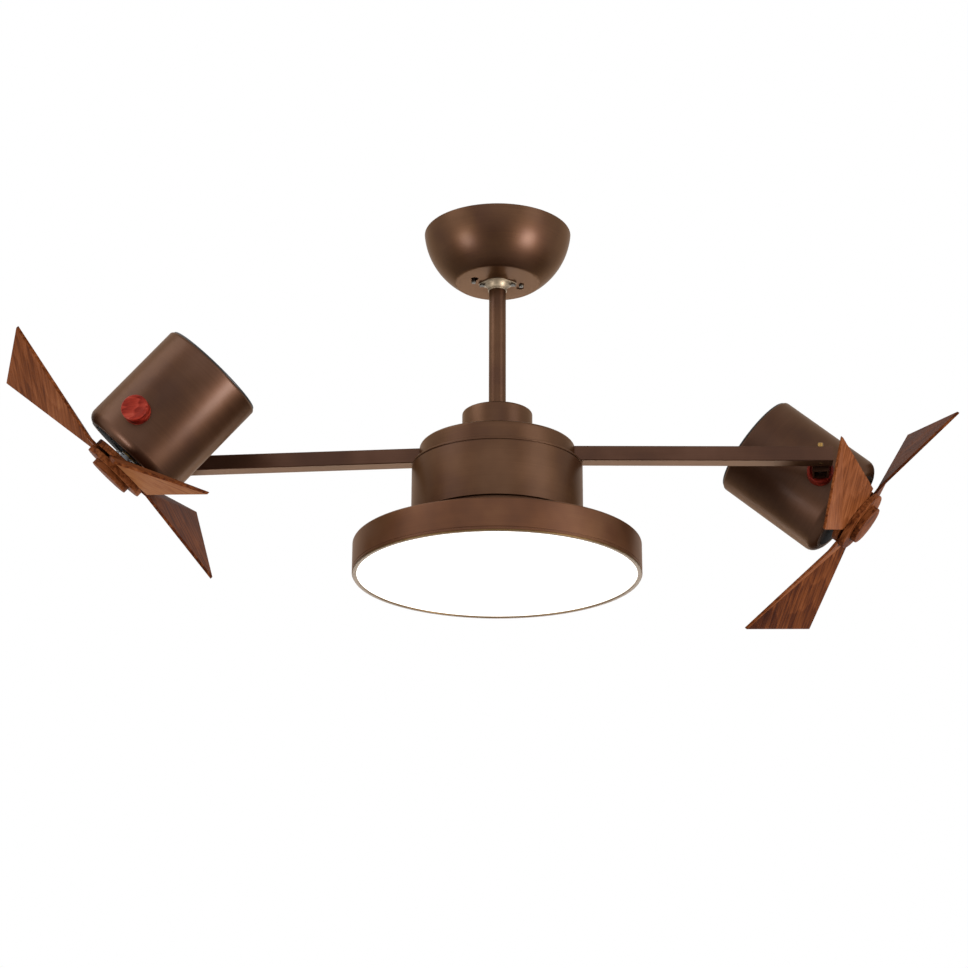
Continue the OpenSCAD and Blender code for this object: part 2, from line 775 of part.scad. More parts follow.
module magnet(side) {
  color(black) rotor_frame(side) ring(magnet_r, shaft_r + bond, stator_z0 + 3, stator_z1 - 3);
}

module back_disc(side) {
  color(walnut) rotor_frame(side) ring(back_disc_r, shaft_r + bond, back_disc_z, root_z);
}

module front_disc(side) {
  color(walnut) rotor_frame(side) ring(front_disc_r, shaft_r + bond, front_disc_z, end_cap_z);
}

module end_cap(side) {
  color(walnut) rotor_frame(side) difference() {
    rotate_extrude() round_top_2d(end_cap_r, end_cap_z, end_cap_z + end_cap_t, 1);
    rod(shaft_r + bond, end_cap_z - eps, shaft_front + seat);
  }
}

function polar(r, a) = [r * cos(a), r * sin(a)];

// Blade folded along the line from the front root to the rear tip
module blade(side, turn) {
  root_a = polar(rear_root_r, rear_root_turn);
  root_b = polar(front_root_r, front_root_turn);
  tip_b = polar(front_tip_r, front_tip_turn);
  tip_a = polar(rear_tip_r, 0);
  half = blade_t / 2;
  mids = [
    [root_a.x, root_a.y, root_mid],
    [root_b.x, root_b.y, root_mid],
    [tip_b.x, tip_b.y, root_mid + front_tip_fore],
    [tip_a.x, tip_a.y, root_mid - rear_tip_back]
  ];
  color(walnut) rotor_frame(side) rotate([0, 0, turn]) difference() {
    union() {
      translate([0, 0, root_z]) linear_extrude(blade_t) polygon([
        polar(blade_root_in, -30), root_a, root_b, polar(blade_root_in, 80)
      ]);
      polyhedron(
        points = concat(
          [for (p = mids) [p.x, p.y, p.z - half]],
          [for (p = mids) [p.x, p.y, p.z + half]]
        ),
        faces = [
          [4, 5, 7], [5, 6, 7], [0, 3, 1], [1, 3, 2],
          [0, 1, 5, 4], [1, 2, 6, 5], [2, 3, 7, 6], [3, 0, 4, 7]
        ]
      );
    }
    rod(shaft_r + run, root_z - eps, front_disc_z + eps);
  }
}

module housing() {
  color(bronze) difference() {
    rotate_extrude() round_top_2d(housing_r, pan_top, rim_z, 0.6);
    rod(housing_r - housing_wall, pan_top + bottom_t, rim_z + eps);
    rod(spindle_r + run, pan_top - eps, pan_top + bottom_t + eps);
  }
}

module led_driver() {
  color(black) box(-driver_l / 2, driver_l / 2, driver_y, driver_y + driver_w,
                   shoulder_low, shoulder_low + driver_h);
}

module spindle_nut() {
  color(zinc) difference() {
    translate([0, 0, nut_top - nut_t]) cylinder(r = nut_r, h = nut_t, $fn = 6);
    rod(spindle_r + bond, nut_top - nut_t - eps, nut_top + eps);
  }
}

module light_pan() {
  color(bronze) difference() {
    rotate_extrude() round_top_2d(light_r, lens_low, pan_top, pan_edge_r);
    rod(light_r - pan_wall, lens_low - eps, nut_top);
    rod(spindle_r + run, nut_top - eps, pan_top + eps);
  }
}

module led_board() {
  color(opal) ring(board_r, board_hole_r, nut_top - board_t, nut_top);
}

module lens() {
  color(opal) rod(lens_seat_r, lens_low, lens_low + lens_t);
}

module bezel() {
  color(gilt) {
    ring(light_r, lens_r, light_low, lens_low);
    ring(bezel_flange_r, bezel_flange_r - bezel_flange_t, lens_low - eps, lens_low + 8);
  }
}

ceiling_bracket();
canopy();
canopy_screws();
hanging_ball();
rod_collar();
collar_screws();
down_rod();
cross_pins();
neck_cap();
coupling();
spindle();
slip_ring();
hub_cover();
arm_hub();
hub_bushing();
arm_screws();
swivel_screws();
housing();
led_driver();
spindle_nut();
light_pan();
led_board();
lens();
bezel();
arm(-1);  // left_arm
head_bracket(-1);  // left_bracket
tilt_bolt(-1);  // left_tilt_bolt
tilt_disc(-1);  // left_tilt_disc
drum(-1);  // left_drum
front_plate(-1);  // left_front_plate
rear_cap(-1);  // left_rear_cap
knob(-1);  // left_knob
stator(-1);  // left_stator
bushings(-1);  // left_bushings
shaft(-1);  // left_shaft
magnet(-1);  // left_magnet
back_disc(-1);  // left_back_disc
blade(-1, 0);  // left_blade_a
blade(-1, blade_step);  // left_blade_b
blade(-1, 2 * blade_step);  // left_blade_c
front_disc(-1);  // left_front_disc
end_cap(-1);  // left_end_cap
arm(1);  // right_arm
head_bracket(1);  // right_bracket
tilt_bolt(1);  // right_tilt_bolt
tilt_disc(1);  // right_tilt_disc
drum(1);  // right_drum
front_plate(1);  // right_front_plate
rear_cap(1);  // right_rear_cap
knob(1);  // right_knob
stator(1);  // right_stator
bushings(1);  // right_bushings
shaft(1);  // right_shaft
magnet(1);  // right_magnet
back_disc(1);  // right_back_disc
blade(1, 0);  // right_blade_a
blade(1, blade_step);  // right_blade_b
blade(1, 2 * blade_step);  // right_blade_c
front_disc(1);  // right_front_disc
end_cap(1);  // right_end_cap
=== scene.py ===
# Twin head ceiling fan with a light: dark bronze metal, walnut blades, red side knobs.
from math import asin, atan2, ceil, cos, degrees, pi, radians, sin, tan
import bmesh
import bpy
from mathutils import Matrix, Vector


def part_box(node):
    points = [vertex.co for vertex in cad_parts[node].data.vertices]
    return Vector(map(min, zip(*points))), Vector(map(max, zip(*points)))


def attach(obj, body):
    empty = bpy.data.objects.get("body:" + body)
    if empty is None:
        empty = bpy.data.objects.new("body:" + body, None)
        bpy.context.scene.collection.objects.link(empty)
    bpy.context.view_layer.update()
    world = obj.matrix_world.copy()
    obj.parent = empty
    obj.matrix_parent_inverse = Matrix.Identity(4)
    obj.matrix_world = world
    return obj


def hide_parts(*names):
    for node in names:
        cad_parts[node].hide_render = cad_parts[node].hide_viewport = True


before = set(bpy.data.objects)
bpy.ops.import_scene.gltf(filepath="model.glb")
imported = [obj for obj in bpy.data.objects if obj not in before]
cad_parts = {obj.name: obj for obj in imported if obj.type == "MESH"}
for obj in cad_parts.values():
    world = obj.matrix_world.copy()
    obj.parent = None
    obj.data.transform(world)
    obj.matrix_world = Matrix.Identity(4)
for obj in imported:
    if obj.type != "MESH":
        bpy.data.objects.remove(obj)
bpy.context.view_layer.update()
print("frame loaded:", len(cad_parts), "parts")

# Camera: below the fan and a little to its right, as the photograph was taken
cameraPlace = {
    "location": (0.11606, -2.37851, -1.16421), "turn": (110.01324, -0.19621, 3.06564),
    "lens": 87.05, "sensor": 36,
}


def placeCamera(place):
    camera = bpy.data.objects.new("camera", bpy.data.cameras.new("camera"))
    bpy.context.scene.collection.objects.link(camera)
    camera.location = place["location"]
    camera.rotation_euler = [radians(angle) for angle in place["turn"]]
    camera.data.lens, camera.data.sensor_width = place["lens"], place["sensor"]
    bpy.context.scene.camera = camera


placeCamera(cameraPlace)

# Where the heads stand, in degrees and metres; side is -1 for the left one and 1 for the right one
headStand = {
    "armHeight": -0.26392, "armDroop": 1.1, "swivelReach": 0.3494, "pan": {-1: -4.3, 1: -4.0},
    "headOut": 0.1077, "tiltDrop": -0.002, "tilt": {-1: 45.9, 1: 39.0}, "phase": {-1: 37.2, 1: 26.3},
}
sideName = {-1: "left", 1: "right"}


def turned(angle, axis):
    return Matrix.Rotation(radians(angle), 4, axis)


def armPlace(side):
    lift = Matrix.Translation((0, 0, headStand["armHeight"]))
    return turned(0 if side > 0 else 180, "Z") @ lift @ turned(headStand["armDroop"], "Y")


def bracketPlace(side):
    reach = Matrix.Translation((headStand["swivelReach"], 0, 0))
    return armPlace(side) @ reach @ turned(headStand["pan"][side], "Z")


def headPlace(side):
    out = Matrix.Translation((0, headStand["headOut"], headStand["tiltDrop"]))
    return bracketPlace(side) @ out @ turned(90 + headStand["tilt"][side], "Y")


def rotorPlace(side):
    return headPlace(side) @ turned(headStand["phase"][side], "Z")


def cadEnds(part):
    # the low and high ends of a part's solid, in millimetres
    low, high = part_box(part)
    return low[2] * 1000, high[2] * 1000


def clearSelection():
    bpy.ops.object.select_all(action="DESELECT")


def takeUp(piece):
    clearSelection()
    piece.select_set(True)
    bpy.context.view_layer.objects.active = piece


def pickEdges(piece, wanted):
    mesh = bmesh.from_edit_mesh(piece.data)
    for item in list(mesh.verts) + list(mesh.edges) + list(mesh.faces):
        item.select = False
    for edge in mesh.edges:
        if wanted(edge):
            edge.select_set(True)
    bmesh.update_edit_mesh(piece.data)


roundStep = 15  # degrees of a rounded edge that one face takes
smoothBelow = 32  # degrees between two faces up to which they shade as one surface


def softOutline(corners, closed):
    # corners are (across, up, edge radius) in millimetres; the result is in metres
    points = []
    for i, (x, z, radius) in enumerate(corners):
        here = Vector((x, z))
        if radius == 0 or (not closed and i in (0, len(corners) - 1)):
            points.append(here)
            continue
        before = (Vector(corners[i - 1][:2]) - here).normalized()
        after = (Vector(corners[(i + 1) % len(corners)][:2]) - here).normalized()
        half = before.angle(after) / 2
        middle = here + (before + after).normalized() * radius / sin(half)
        a = here + before * radius / tan(half) - middle
        b = here + after * radius / tan(half) - middle
        sweep = atan2(a.x * b.y - a.y * b.x, a.dot(b))
        steps = max(2, ceil(abs(degrees(sweep)) / roundStep))
        points += [middle + Matrix.Rotation(sweep * k / steps, 2) @ a for k in range(steps + 1)]
    return [point / 1000 for point in points]


def arc(x, z, radius, start, end, steps):
    turns = [radians(start + (end - start) * k / steps) for k in range(steps + 1)]
    return [(x + radius * cos(t), z + radius * sin(t), 0) for t in turns]


def turnOnLathe(name, corners, closed=True, steps=144):
    # one point is drawn out along the half section, which is then spun round the upright axis
    points = softOutline(corners, closed)
    clearSelection()
    bpy.ops.mesh.primitive_plane_add(size=0.001)
    piece = bpy.context.object
    piece.name = piece.data.name = name
    bpy.ops.object.mode_set(mode="EDIT")
    bpy.ops.mesh.select_mode(type="VERT")
    bpy.ops.mesh.select_all(action="SELECT")
    bpy.ops.mesh.merge(type="CENTER")
    bpy.ops.transform.translate(value=(points[0].x, 0, points[0].y))
    for here, there in zip(points, points[1:] + points[:1 if closed else 0]):
        step = there - here
        bpy.ops.mesh.extrude_vertices_move(TRANSFORM_OT_translate={"value": (step.x, 0, step.y)})
    bpy.ops.mesh.select_all(action="SELECT")
    bpy.ops.mesh.remove_doubles(threshold=1e-6)
    bpy.ops.mesh.spin(steps=steps, angle=2 * pi, center=(0, 0, 0), axis=(0, 0, 1))
    tidyMesh()
    bpy.ops.object.shade_smooth_by_angle(angle=radians(smoothBelow))
    return piece


def tidyMesh():
    bpy.ops.mesh.select_all(action="SELECT")
    bpy.ops.mesh.remove_doubles(threshold=1e-6)
    bpy.ops.mesh.normals_make_consistent(inside=False)
    bpy.ops.object.mode_set(mode="OBJECT")


def applied(piece, kind, **values):
    takeUp(piece)
    modifier = piece.modifiers.new(kind.lower(), kind)
    for name, value in values.items():
        setattr(modifier, name, value)
    bpy.ops.object.modifier_apply(modifier=modifier.name)


def cutAway(piece, cutter):
    applied(piece, "BOOLEAN", operation="DIFFERENCE", solver="EXACT", object=cutter)
    bpy.data.objects.remove(cutter)


def another(piece, name):
    twin = piece.copy()
    twin.data = piece.data.copy()
    twin.name = twin.data.name = name
    bpy.context.scene.collection.objects.link(twin)
    return twin


def noteWoodGrain(piece, turn, shift, tip):
    # grain = how far along the fibres, across them and into the board, in metres
    along = turned(turn, "Z") @ turned(tip, "Y")
    back = along.to_3x3().inverted()
    grain = piece.data.attributes.new("grain", "FLOAT_VECTOR", "POINT")
    for vertex, value in zip(piece.data.vertices, grain.data):
        value.vector = back @ vertex.co + Vector(shift)


def fitIn(piece, place, body, finish, part):
    # keeps where each point was on the lathe or bench, so that the finish follows the piece
    own = piece.data.attributes.new("ownPlace", "FLOAT_VECTOR", "POINT")
    for vertex, value in zip(piece.data.vertices, own.data):
        value.vector = vertex.co
    piece.matrix_world = place
    takeUp(piece)
    bpy.ops.object.transform_apply(location=True, rotation=True, scale=True)
    piece.data.materials.clear()
    piece.data.materials.append(finish)
    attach(piece, body)
    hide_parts(part)


# Finishes, with their colours as hexadecimal codes
def tint(code):
    parts = [int(code[i:i + 2], 16) / 255 for i in (0, 2, 4)]
    return [p / 12.92 if p <= 0.04045 else ((p + 0.055) / 1.055) ** 2.4 for p in parts] + [1]


def startFinish(name, **sockets):
    finish = bpy.data.materials.new(name)
    finish.use_nodes = True
    shader = finish.node_tree.nodes["Principled BSDF"]
    for socket, value in sockets.items():
        shader.inputs[socket.replace("_", " ")].default_value = value
    return finish, finish.node_tree, shader


def node(tree, kind, **settings):
    made = tree.nodes.new("ShaderNode" + kind)
    # the nodes stand in a staggered row, in the order in which they are made
    made.location = (200 * len(tree.nodes) - 6000, -240 * (len(tree.nodes) % 4))
    for name, value in settings.items():
        setattr(made, name, value)
    return made


def spot(tree, attribute):
    if attribute:
        return node(tree, "Attribute", attribute_name=attribute).outputs["Vector"]
    return node(tree, "TexCoord").outputs["Object"]


def sums(tree, operation, first, second=None, third=None):
    made = node(tree, "Math", operation=operation)
    for socket, value in zip(made.inputs, (first, second, third)):
        if isinstance(value, (int, float)):
            socket.default_value = value
        elif value is not None:
            tree.links.new(value, socket)
    return made.outputs[0]


def stretched(tree, source, scale, shift=(0, 0, 0)):
    made = node(tree, "Mapping")
    made.inputs["Scale"].default_value = scale
    made.inputs["Location"].default_value = shift
    tree.links.new(source, made.inputs["Vector"])
    return made.outputs[0]


def speckle(tree, source, scale, detail=3, roughness=0.5):
    made = node(tree, "TexNoise")
    made.inputs["Scale"].default_value = scale
    made.inputs["Detail"].default_value = detail
    made.inputs["Roughness"].default_value = roughness
    tree.links.new(source, made.inputs["Vector"])
    return made.outputs["Fac"]


def ramp(tree, source, stops):
    made = node(tree, "ValToRGB")
    while len(made.color_ramp.elements) < len(stops):
        made.color_ramp.elements.new(0.5)
    for element, (where, colour) in zip(made.color_ramp.elements, stops):
        element.position = where
        element.color = tint(colour) if isinstance(colour, str) else (colour, colour, colour, 1)
    tree.links.new(source, made.inputs[0])
    return made.outputs[0]


def relief(tree, shader, height, strength, distance):
    made = node(tree, "Bump")
    made.inputs["Strength"].default_value = strength
    made.inputs["Distance"].default_value = distance
    tree.links.new(height, made.inputs["Height"])
    tree.links.new(made.outputs[0], shader.inputs["Normal"])


def blended(tree, source, low, high):
    made = node(tree, "MapRange")
    made.inputs["To Min"].default_value = low
    made.inputs["To Max"].default_value = high
    tree.links.new(source, made.inputs["Value"])
    return made.outputs[0]


bronzeLook = {
    "shades": ("452c1e", "4d3321", "553a27"), "steps": (0.36, 0.5, 0.64), "metal": 0.95,
    "rough": (0.4, 0.46), "gloss": 0.3, "edge": "e8cdb6", "coat": 0.18, "coatRough": 0.3,
    "brushAlong": 9, "brushAcross": 950, "cloudSize": 14, "peelSize": 900, "bump": 0.12,
    "bumpHeight": 0.0002, "cloudTone": 0.8, "brushTone": 0.2, "peelBump": 0.6, "brushBump": 0.3,
}


def distanceFromAxis(tree, place):
    flat = stretched(tree, place, (1, 1, 0))
    length = node(tree, "VectorMath", operation="LENGTH")
    tree.links.new(flat, length.inputs[0])
    return length.outputs["Value"]


def turnedLines(tree, place, look):
    # brushing that runs round a turned piece: it changes fast up the wall and slowly along it
    outwards = distanceFromAxis(tree, place)
    apart = node(tree, "SeparateXYZ")
    tree.links.new(place, apart.inputs[0])
    together = node(tree, "CombineXYZ")
    for i in (0, 1):
        tree.links.new(sums(tree, "MULTIPLY", apart.outputs[i], look["brushAlong"]), together.inputs[i])
    climb = sums(tree, "ADD", outwards, apart.outputs[2])
    tree.links.new(sums(tree, "MULTIPLY", climb, look["brushAcross"]), together.inputs[2])
    return together.outputs[0]


def bronzeFinish(name, attribute, lines, **changes):
    # satin bronze: faint brushing, orange peel of the clear coat, broad cloudy tone
    look = {**bronzeLook, **changes}
    finish, tree, shader = startFinish(
        name, Metallic=look["metal"], Specular_IOR_Level=look["gloss"], Specular_Tint=tint(look["edge"]),
        Coat_Weight=look["coat"], Coat_Roughness=look["coatRough"])
    place = spot(tree, attribute)
    if lines == "round":
        brushed = speckle(tree, turnedLines(tree, place, look), 1, roughness=0.6)
    else:
        stretch = (look["brushAlong"], look["brushAcross"], look["brushAcross"])
        brushed = speckle(tree, stretched(tree, place, stretch), 1, roughness=0.6)
    cloud = speckle(tree, place, look["cloudSize"], roughness=0.55)
    peel = speckle(tree, place, look["peelSize"], detail=2)
    brushTone = sums(tree, "MULTIPLY", brushed, look["brushTone"])
    tone = sums(tree, "MULTIPLY_ADD", cloud, look["cloudTone"], brushTone)
    colour = ramp(tree, tone, list(zip(look["steps"], look["shades"])))
    tree.links.new(colour, shader.inputs["Base Color"])
    tree.links.new(blended(tree, brushed, *look["rough"]), shader.inputs["Roughness"])
    brushBump = sums(tree, "MULTIPLY", brushed, look["brushBump"])
    height = sums(tree, "MULTIPLY_ADD", peel, look["peelBump"], brushBump)
    relief(tree, shader, height, look["bump"], look["bumpHeight"])
    return finish


# what both woods share; the sizes are stretches along, across and into the board
woodFigure = {
    "wander": (7, 34, 34), "hair": (55, 1500, 1500), "cloud": (6, 22, 22), "cloudShift": (3, 1, 2),
    # how much darker the painted shade on a turned side wall is
    "ringTones": [(0, 0.25), (0.55, 0.6), (0.86, 0.95), (1, 0.25)], "paintedSideShade": -0.09,
    "bump": 0.12, "bumpHeight": 0.0002,
}


def woodFinish(name, look):
    # growth rings cut at a slant give the arches; fibres, pores and a broad tone lie over them
    figure = woodFigure
    finish, tree, shader = startFinish(name, Specular_IOR_Level=look["gloss"])
    place = spot(tree, "grain")
    wander = speckle(tree, stretched(tree, place, figure["wander"]), 1)
    apart = node(tree, "SeparateXYZ")
    tree.links.new(place, apart.inputs[0])
    along, across, deep = apart.outputs
    heart = node(tree, "CombineXYZ")
    tree.links.new(sums(tree, "ADD", across, look["heartSide"]), heart.inputs[1])
    slant = sums(tree, "MULTIPLY_ADD", along, look["slant"], look["heartDeep"])
    tree.links.new(sums(tree, "ADD", deep, slant), heart.inputs[2])
    reach = node(tree, "VectorMath", operation="LENGTH")
    tree.links.new(heart.outputs[0], reach.inputs[0])
    bent = sums(tree, "MULTIPLY_ADD", wander, look["wander"], reach.outputs["Value"])
    ring = sums(tree, "FRACT", sums(tree, "MULTIPLY", bent, look["rings"]))
    ringTone = ramp(tree, ring, figure["ringTones"])
    fibre = speckle(tree, stretched(tree, place, look["streaks"]), 1, detail=4, roughness=0.62)
    hair = speckle(tree, stretched(tree, place, figure["hair"]), 1, roughness=0.6)
    cloud = speckle(tree, stretched(tree, place, figure["cloud"], figure["cloudShift"]), 1, detail=2)
    tone = sums(tree, "MULTIPLY_ADD", fibre, look["fibre"], sums(tree, "MULTIPLY", ringTone, look["ring"]))
    tone = sums(tree, "MULTIPLY_ADD", cloud, look["cloud"], tone)
    tone = sums(tree, "MULTIPLY_ADD", hair, look["hair"], tone)
    # the blades' painted light on their facets and painted shade on their edges is added to the tone
    paintedLight = node(tree, "Attribute", attribute_name="paintedLight")
    tone = sums(tree, "ADD", tone, paintedLight.outputs["Fac"])
    if look["shadedSideBelow"]:
        # below this depth the turned side wall is painted darker, a painted shade under the lit face
        side = sums(tree, "LESS_THAN", deep, look["shadedSideBelow"])
        tone = sums(tree, "MULTIPLY_ADD", side, figure["paintedSideShade"], tone)
    colour = ramp(tree, tone, list(zip(look["steps"], look["shades"])))
    tree.links.new(colour, shader.inputs["Base Color"])
    tree.links.new(blended(tree, fibre, *look["rough"]), shader.inputs["Roughness"])
    relief(tree, shader, sums(tree, "ADD", hair, fibre), figure["bump"], figure["bumpHeight"])
    return finish


walnutLook = {
    "streaks": (14, 340, 340), "shadedSideBelow": None, "heartSide": -0.012, "heartDeep": 0.018, "slant": 0.16,
    "rings": 170, "wander": 0.02, "fibre": 0.7, "ring": 0.1, "cloud": 0.34, "hair": 0.1,
    "gloss": 0.012, "rough": (0.4, 0.55),
    "steps": (0.36, 0.5, 0.62, 0.76, 0.9), "shades": ("2c1006", "45200f", "653519", "7d482a", "94603c"),
}
cherryLook = {
    # the depth below which the knob's side wall gets its painted shade
    "streaks": (26, 170, 170), "shadedSideBelow": 0.0722,
    "heartSide": -0.003, "heartDeep": 0.006, "slant": 0.3, "rings": 190, "wander": 0.03,
    "fibre": 0.62, "ring": 0.22, "cloud": 0.32, "hair": 0.12, "gloss": 0.08, "rough": (0.3, 0.45),
    "steps": (0.38, 0.52, 0.64, 0.78, 0.92), "shades": ("270504", "571009", "7c251a", "953528", "a84c3b"),
}


plainLook = {"steps": (0.3, 0.7), "bumpHeight": 0.0002}


def plainFinish(name, shades, metal, rough, grainSize=1, bump=0.1, streaks=None, gloss=0.5):
    # two shades of one colour in a fine even grain, or in streaks where a tool has run
    finish, tree, shader = startFinish(name, Metallic=metal, Specular_IOR_Level=gloss)
    place = spot(tree, None)
    source = stretched(tree, place, streaks) if streaks else place
    grain = speckle(tree, source, grainSize, roughness=0.6)
    tree.links.new(ramp(tree, grain, list(zip(plainLook["steps"], shades))), shader.inputs["Base Color"])
    tree.links.new(blended(tree, grain, *rough), shader.inputs["Roughness"])
    relief(tree, shader, grain, bump, plainLook["bumpHeight"])
    return finish


opalLook = {
    "radius": 0.152, "rough": 0.35, "glow": 1.0, "grainSize": 700, "bump": 0.05, "bumpHeight": 0.0001,
    "glowTones": [(0, "ffffff"), (0.9, "fffefc"), (1, "fbf7ef")],
    "glassTones": [(0.3, "efeeea"), (0.7, "f6f5f2")],
}


def opalFinish(look):
    # lit opal glass: even white, a shade softer towards the rim
    finish, tree, shader = startFinish("opalGlow", Roughness=look["rough"], Emission_Strength=look["glow"])
    outwards = sums(tree, "MULTIPLY", distanceFromAxis(tree, spot(tree, None)), 1 / look["radius"])
    mottle = speckle(tree, spot(tree, None), look["grainSize"], detail=2)
    tree.links.new(ramp(tree, outwards, look["glowTones"]), shader.inputs["Emission Color"])
    tree.links.new(ramp(tree, mottle, look["glassTones"]), shader.inputs["Base Color"])
    relief(tree, shader, mottle, look["bump"], look["bumpHeight"])
    return finish


finishes = {
    "bronze": bronzeFinish("satinBronze", "ownPlace", "round"),
    "bodyBronze": bronzeFinish("bodyBronze", "ownPlace", "round", rough=(0.46, 0.52)),
    # the light pan takes the same bronze painted lighter, a painted light
    "litPanBronze": bronzeFinish(
        "litPanBronze", "ownPlace", "round", rough=(0.46, 0.52), shades=("4d3020", "573724", "60402a")),
    # the drums and their trim rings take the same bronze painted darker, a painted shade
    "shadedDrumBronze": bronzeFinish(
        "shadedDrumBronze", "ownPlace", "round", rough=(0.45, 0.51), shades=("3e271b", "472e1f", "4f3527")),
    # the arms and brackets take the same bronze painted darker, a painted shade
    "shadedArmBronze": bronzeFinish("shadedArmBronze", None, "straight", shades=("3c251a", "442b1e", "4c3225")),
    "coverBronze": bronzeFinish("coverBronze", None, "round"),
    "walnut": woodFinish("walnutGrain", walnutLook),
    "cherry": woodFinish("redStainedWood", cherryLook),
    "nickel": plainFinish(
        "satinNickel", ("8c7c68", "ab9a83"), metal=1, rough=(0.44, 0.52), bump=0.06,
        streaks=(40, 40, 2600)),
    "zinc": plainFinish("zincPlate", ("47443f", "736e66"), metal=1, rough=(0.36, 0.5), grainSize=900),
    "steel": plainFinish(
        "machinedSteel", ("7b7d80", "9a9c9f"), metal=1, rough=(0.25, 0.4), bump=0.08,
        streaks=(400, 400, 2200)),
    "brass": plainFinish("agedBrass", ("6b522c", "957544"), metal=1, rough=(0.3, 0.42), grainSize=900),
    "gilt": plainFinish(
        "satinGoldBronze", ("563f22", "705633"), metal=0.85, rough=(0.34, 0.46), grainSize=700, bump=0.08),
    "black": plainFinish(
        "blackPlastic", ("121110", "1c1a19"), metal=0, rough=(0.42, 0.55), grainSize=1400, bump=0.14),
    "opal": opalFinish(opalLook),
    "board": plainFinish(
        "whiteBoard", ("dcdbd5", "edece7"), metal=0, rough=(0.4, 0.5), grainSize=500, bump=0.05),
    "winding": plainFinish(
        "enamelledCopper", ("6e3217", "b5683a"), metal=0.8, rough=(0.3, 0.45), bump=0.3,
        streaks=(900, 900, 300)),
    "magnet": plainFinish(
        "darkFerrite", ("151516", "242426"), metal=0.1, rough=(0.5, 0.65), grainSize=1600, bump=0.2),
    "darkPlate": plainFinish(
        "darkFrontPlate", ("120d0a", "1f1713"), metal=0, rough=(0.6, 0.75), grainSize=300, gloss=0.08),
}
print("finishes made:", len(finishes))

# The canopy: a bowl whose lower edge turns into a flat bottom with a round opening and two keyholes
canopyLow = cadEnds("canopy")[0]
canopyShape = {
    "wall": 1.5, "bowlX": 3.824, "bowlZ": 8.051, "bowlR": 78.59, "edgeX": 44, "edgeR": 7, "hole": 14.5,
    "keyTurn": 13.5, "keyOut": 27, "keyWide": 4.8, "keyLong": 7, "keyRound": 4.2, "cutDeep": 8,
    "bowlSteps": 30, "edgeSteps": 8,
}


def makeCanopy(shape):
    bowl, edge, wall = shape["bowlR"], shape["edgeR"], shape["wall"]
    bowlX, bowlZ, edgeX, edgeZ = shape["bowlX"], shape["bowlZ"], shape["edgeX"], canopyLow + shape["edgeR"]
    # where the bowl runs into its edge, and where its outer and inner faces reach the ceiling
    meet = degrees(atan2(edgeZ - bowlZ, edgeX - bowlX))
    outerRim, innerRim = [-degrees(asin(bowlZ / radius)) for radius in (bowl, bowl - wall)]
    outer = arc(bowlX, bowlZ, bowl, outerRim, meet, shape["bowlSteps"])
    outer += arc(edgeX, edgeZ, edge, meet, -90, shape["edgeSteps"])[1:]
    inner = arc(edgeX, edgeZ, edge - wall, -90, meet, shape["edgeSteps"])
    inner += arc(bowlX, bowlZ, bowl - wall, meet, innerRim, shape["bowlSteps"])[1:]
    mouth = [(shape["hole"], canopyLow, 0.3), (shape["hole"], canopyLow + wall, 0)]
    piece = turnOnLathe("canopyBowl", outer + mouth + inner)
    for half in (0, 180):
        about = turned(shape["keyTurn"] + half, "Z")
        for radius, up in ((shape["keyWide"] / 2, 0), (shape["keyRound"], shape["keyLong"])):
            clearSelection()
            bpy.ops.mesh.primitive_cylinder_add(
                vertices=48, radius=radius / 1000, depth=shape["cutDeep"] / 1000,
                location=about @ Vector((shape["keyOut"], up, canopyLow)) / 1000)
            cutAway(piece, bpy.context.object)
        clearSelection()
        bpy.ops.mesh.primitive_cube_add(
            size=0.001, location=about @ Vector((shape["keyOut"], shape["keyLong"] / 2, canopyLow)) / 1000,
            rotation=about.to_euler())
        bpy.context.object.scale = (shape["keyWide"], shape["keyLong"], shape["cutDeep"])
        cutAway(piece, bpy.context.object)
    takeUp(piece)
    bpy.ops.object.shade_smooth_by_angle(angle=radians(smoothBelow))
    return piece


fitIn(makeCanopy(canopyShape), Matrix(), "mounting_and_light", finishes["bronze"], "canopy")

# The rod, and the cap over the joint at its lower end
rodShape = {"radius": 9.4, "wall": 1.5}


def makeRod(shape):
    low, high = cadEnds("down_rod")
    outside, inside = shape["radius"], shape["radius"] - shape["wall"]
    return turnOnLathe("downRodTube", [
        (inside, low, 0.3), (outside, low, 0.4), (outside, high, 0.4), (inside, high, 0.3)], steps=72)


fitIn(makeRod(rodShape), Matrix(), "mounting_and_light", finishes["bronze"], "down_rod")

neckShape = {"radius": 38.4, "wall": 1.5, "hole": 9.5, "topEdge": 2.5, "lowEdge": 0.4}


def makeNeck(shape):
    low, high = cadEnds("neck_cap")
    outside, inside = shape["radius"], shape["radius"] - shape["wall"]
    return turnOnLathe("neckCapShell", [
        (shape["hole"], high, 0.3), (outside, high, shape["topEdge"]), (outside, low, shape["lowEdge"]),
        (inside, low, 0.3), (inside, high - shape["wall"], 1), (shape["hole"], high - shape["wall"], 0)])


fitIn(makeNeck(neckShape), Matrix(), "mounting_and_light", finishes["bronze"], "neck_cap")

# The collar: a thin plate with two ears under the canopy, and a short trumpet that grips the rod
collarShape = {
    "plate": 1.2, "middle": 15.6, "earOut": 17.6, "earRadius": 3.6, "plateEdge": 0.3, "bevelAbove": 40,
    "flatWithin": 0.5, "bore": 9.46, "high": 10, "lip": 10.6, "lipHigh": 1,
    "flare": 15, "flareHigh": 7.9, "bend": 2.1, "steps": 7,
}


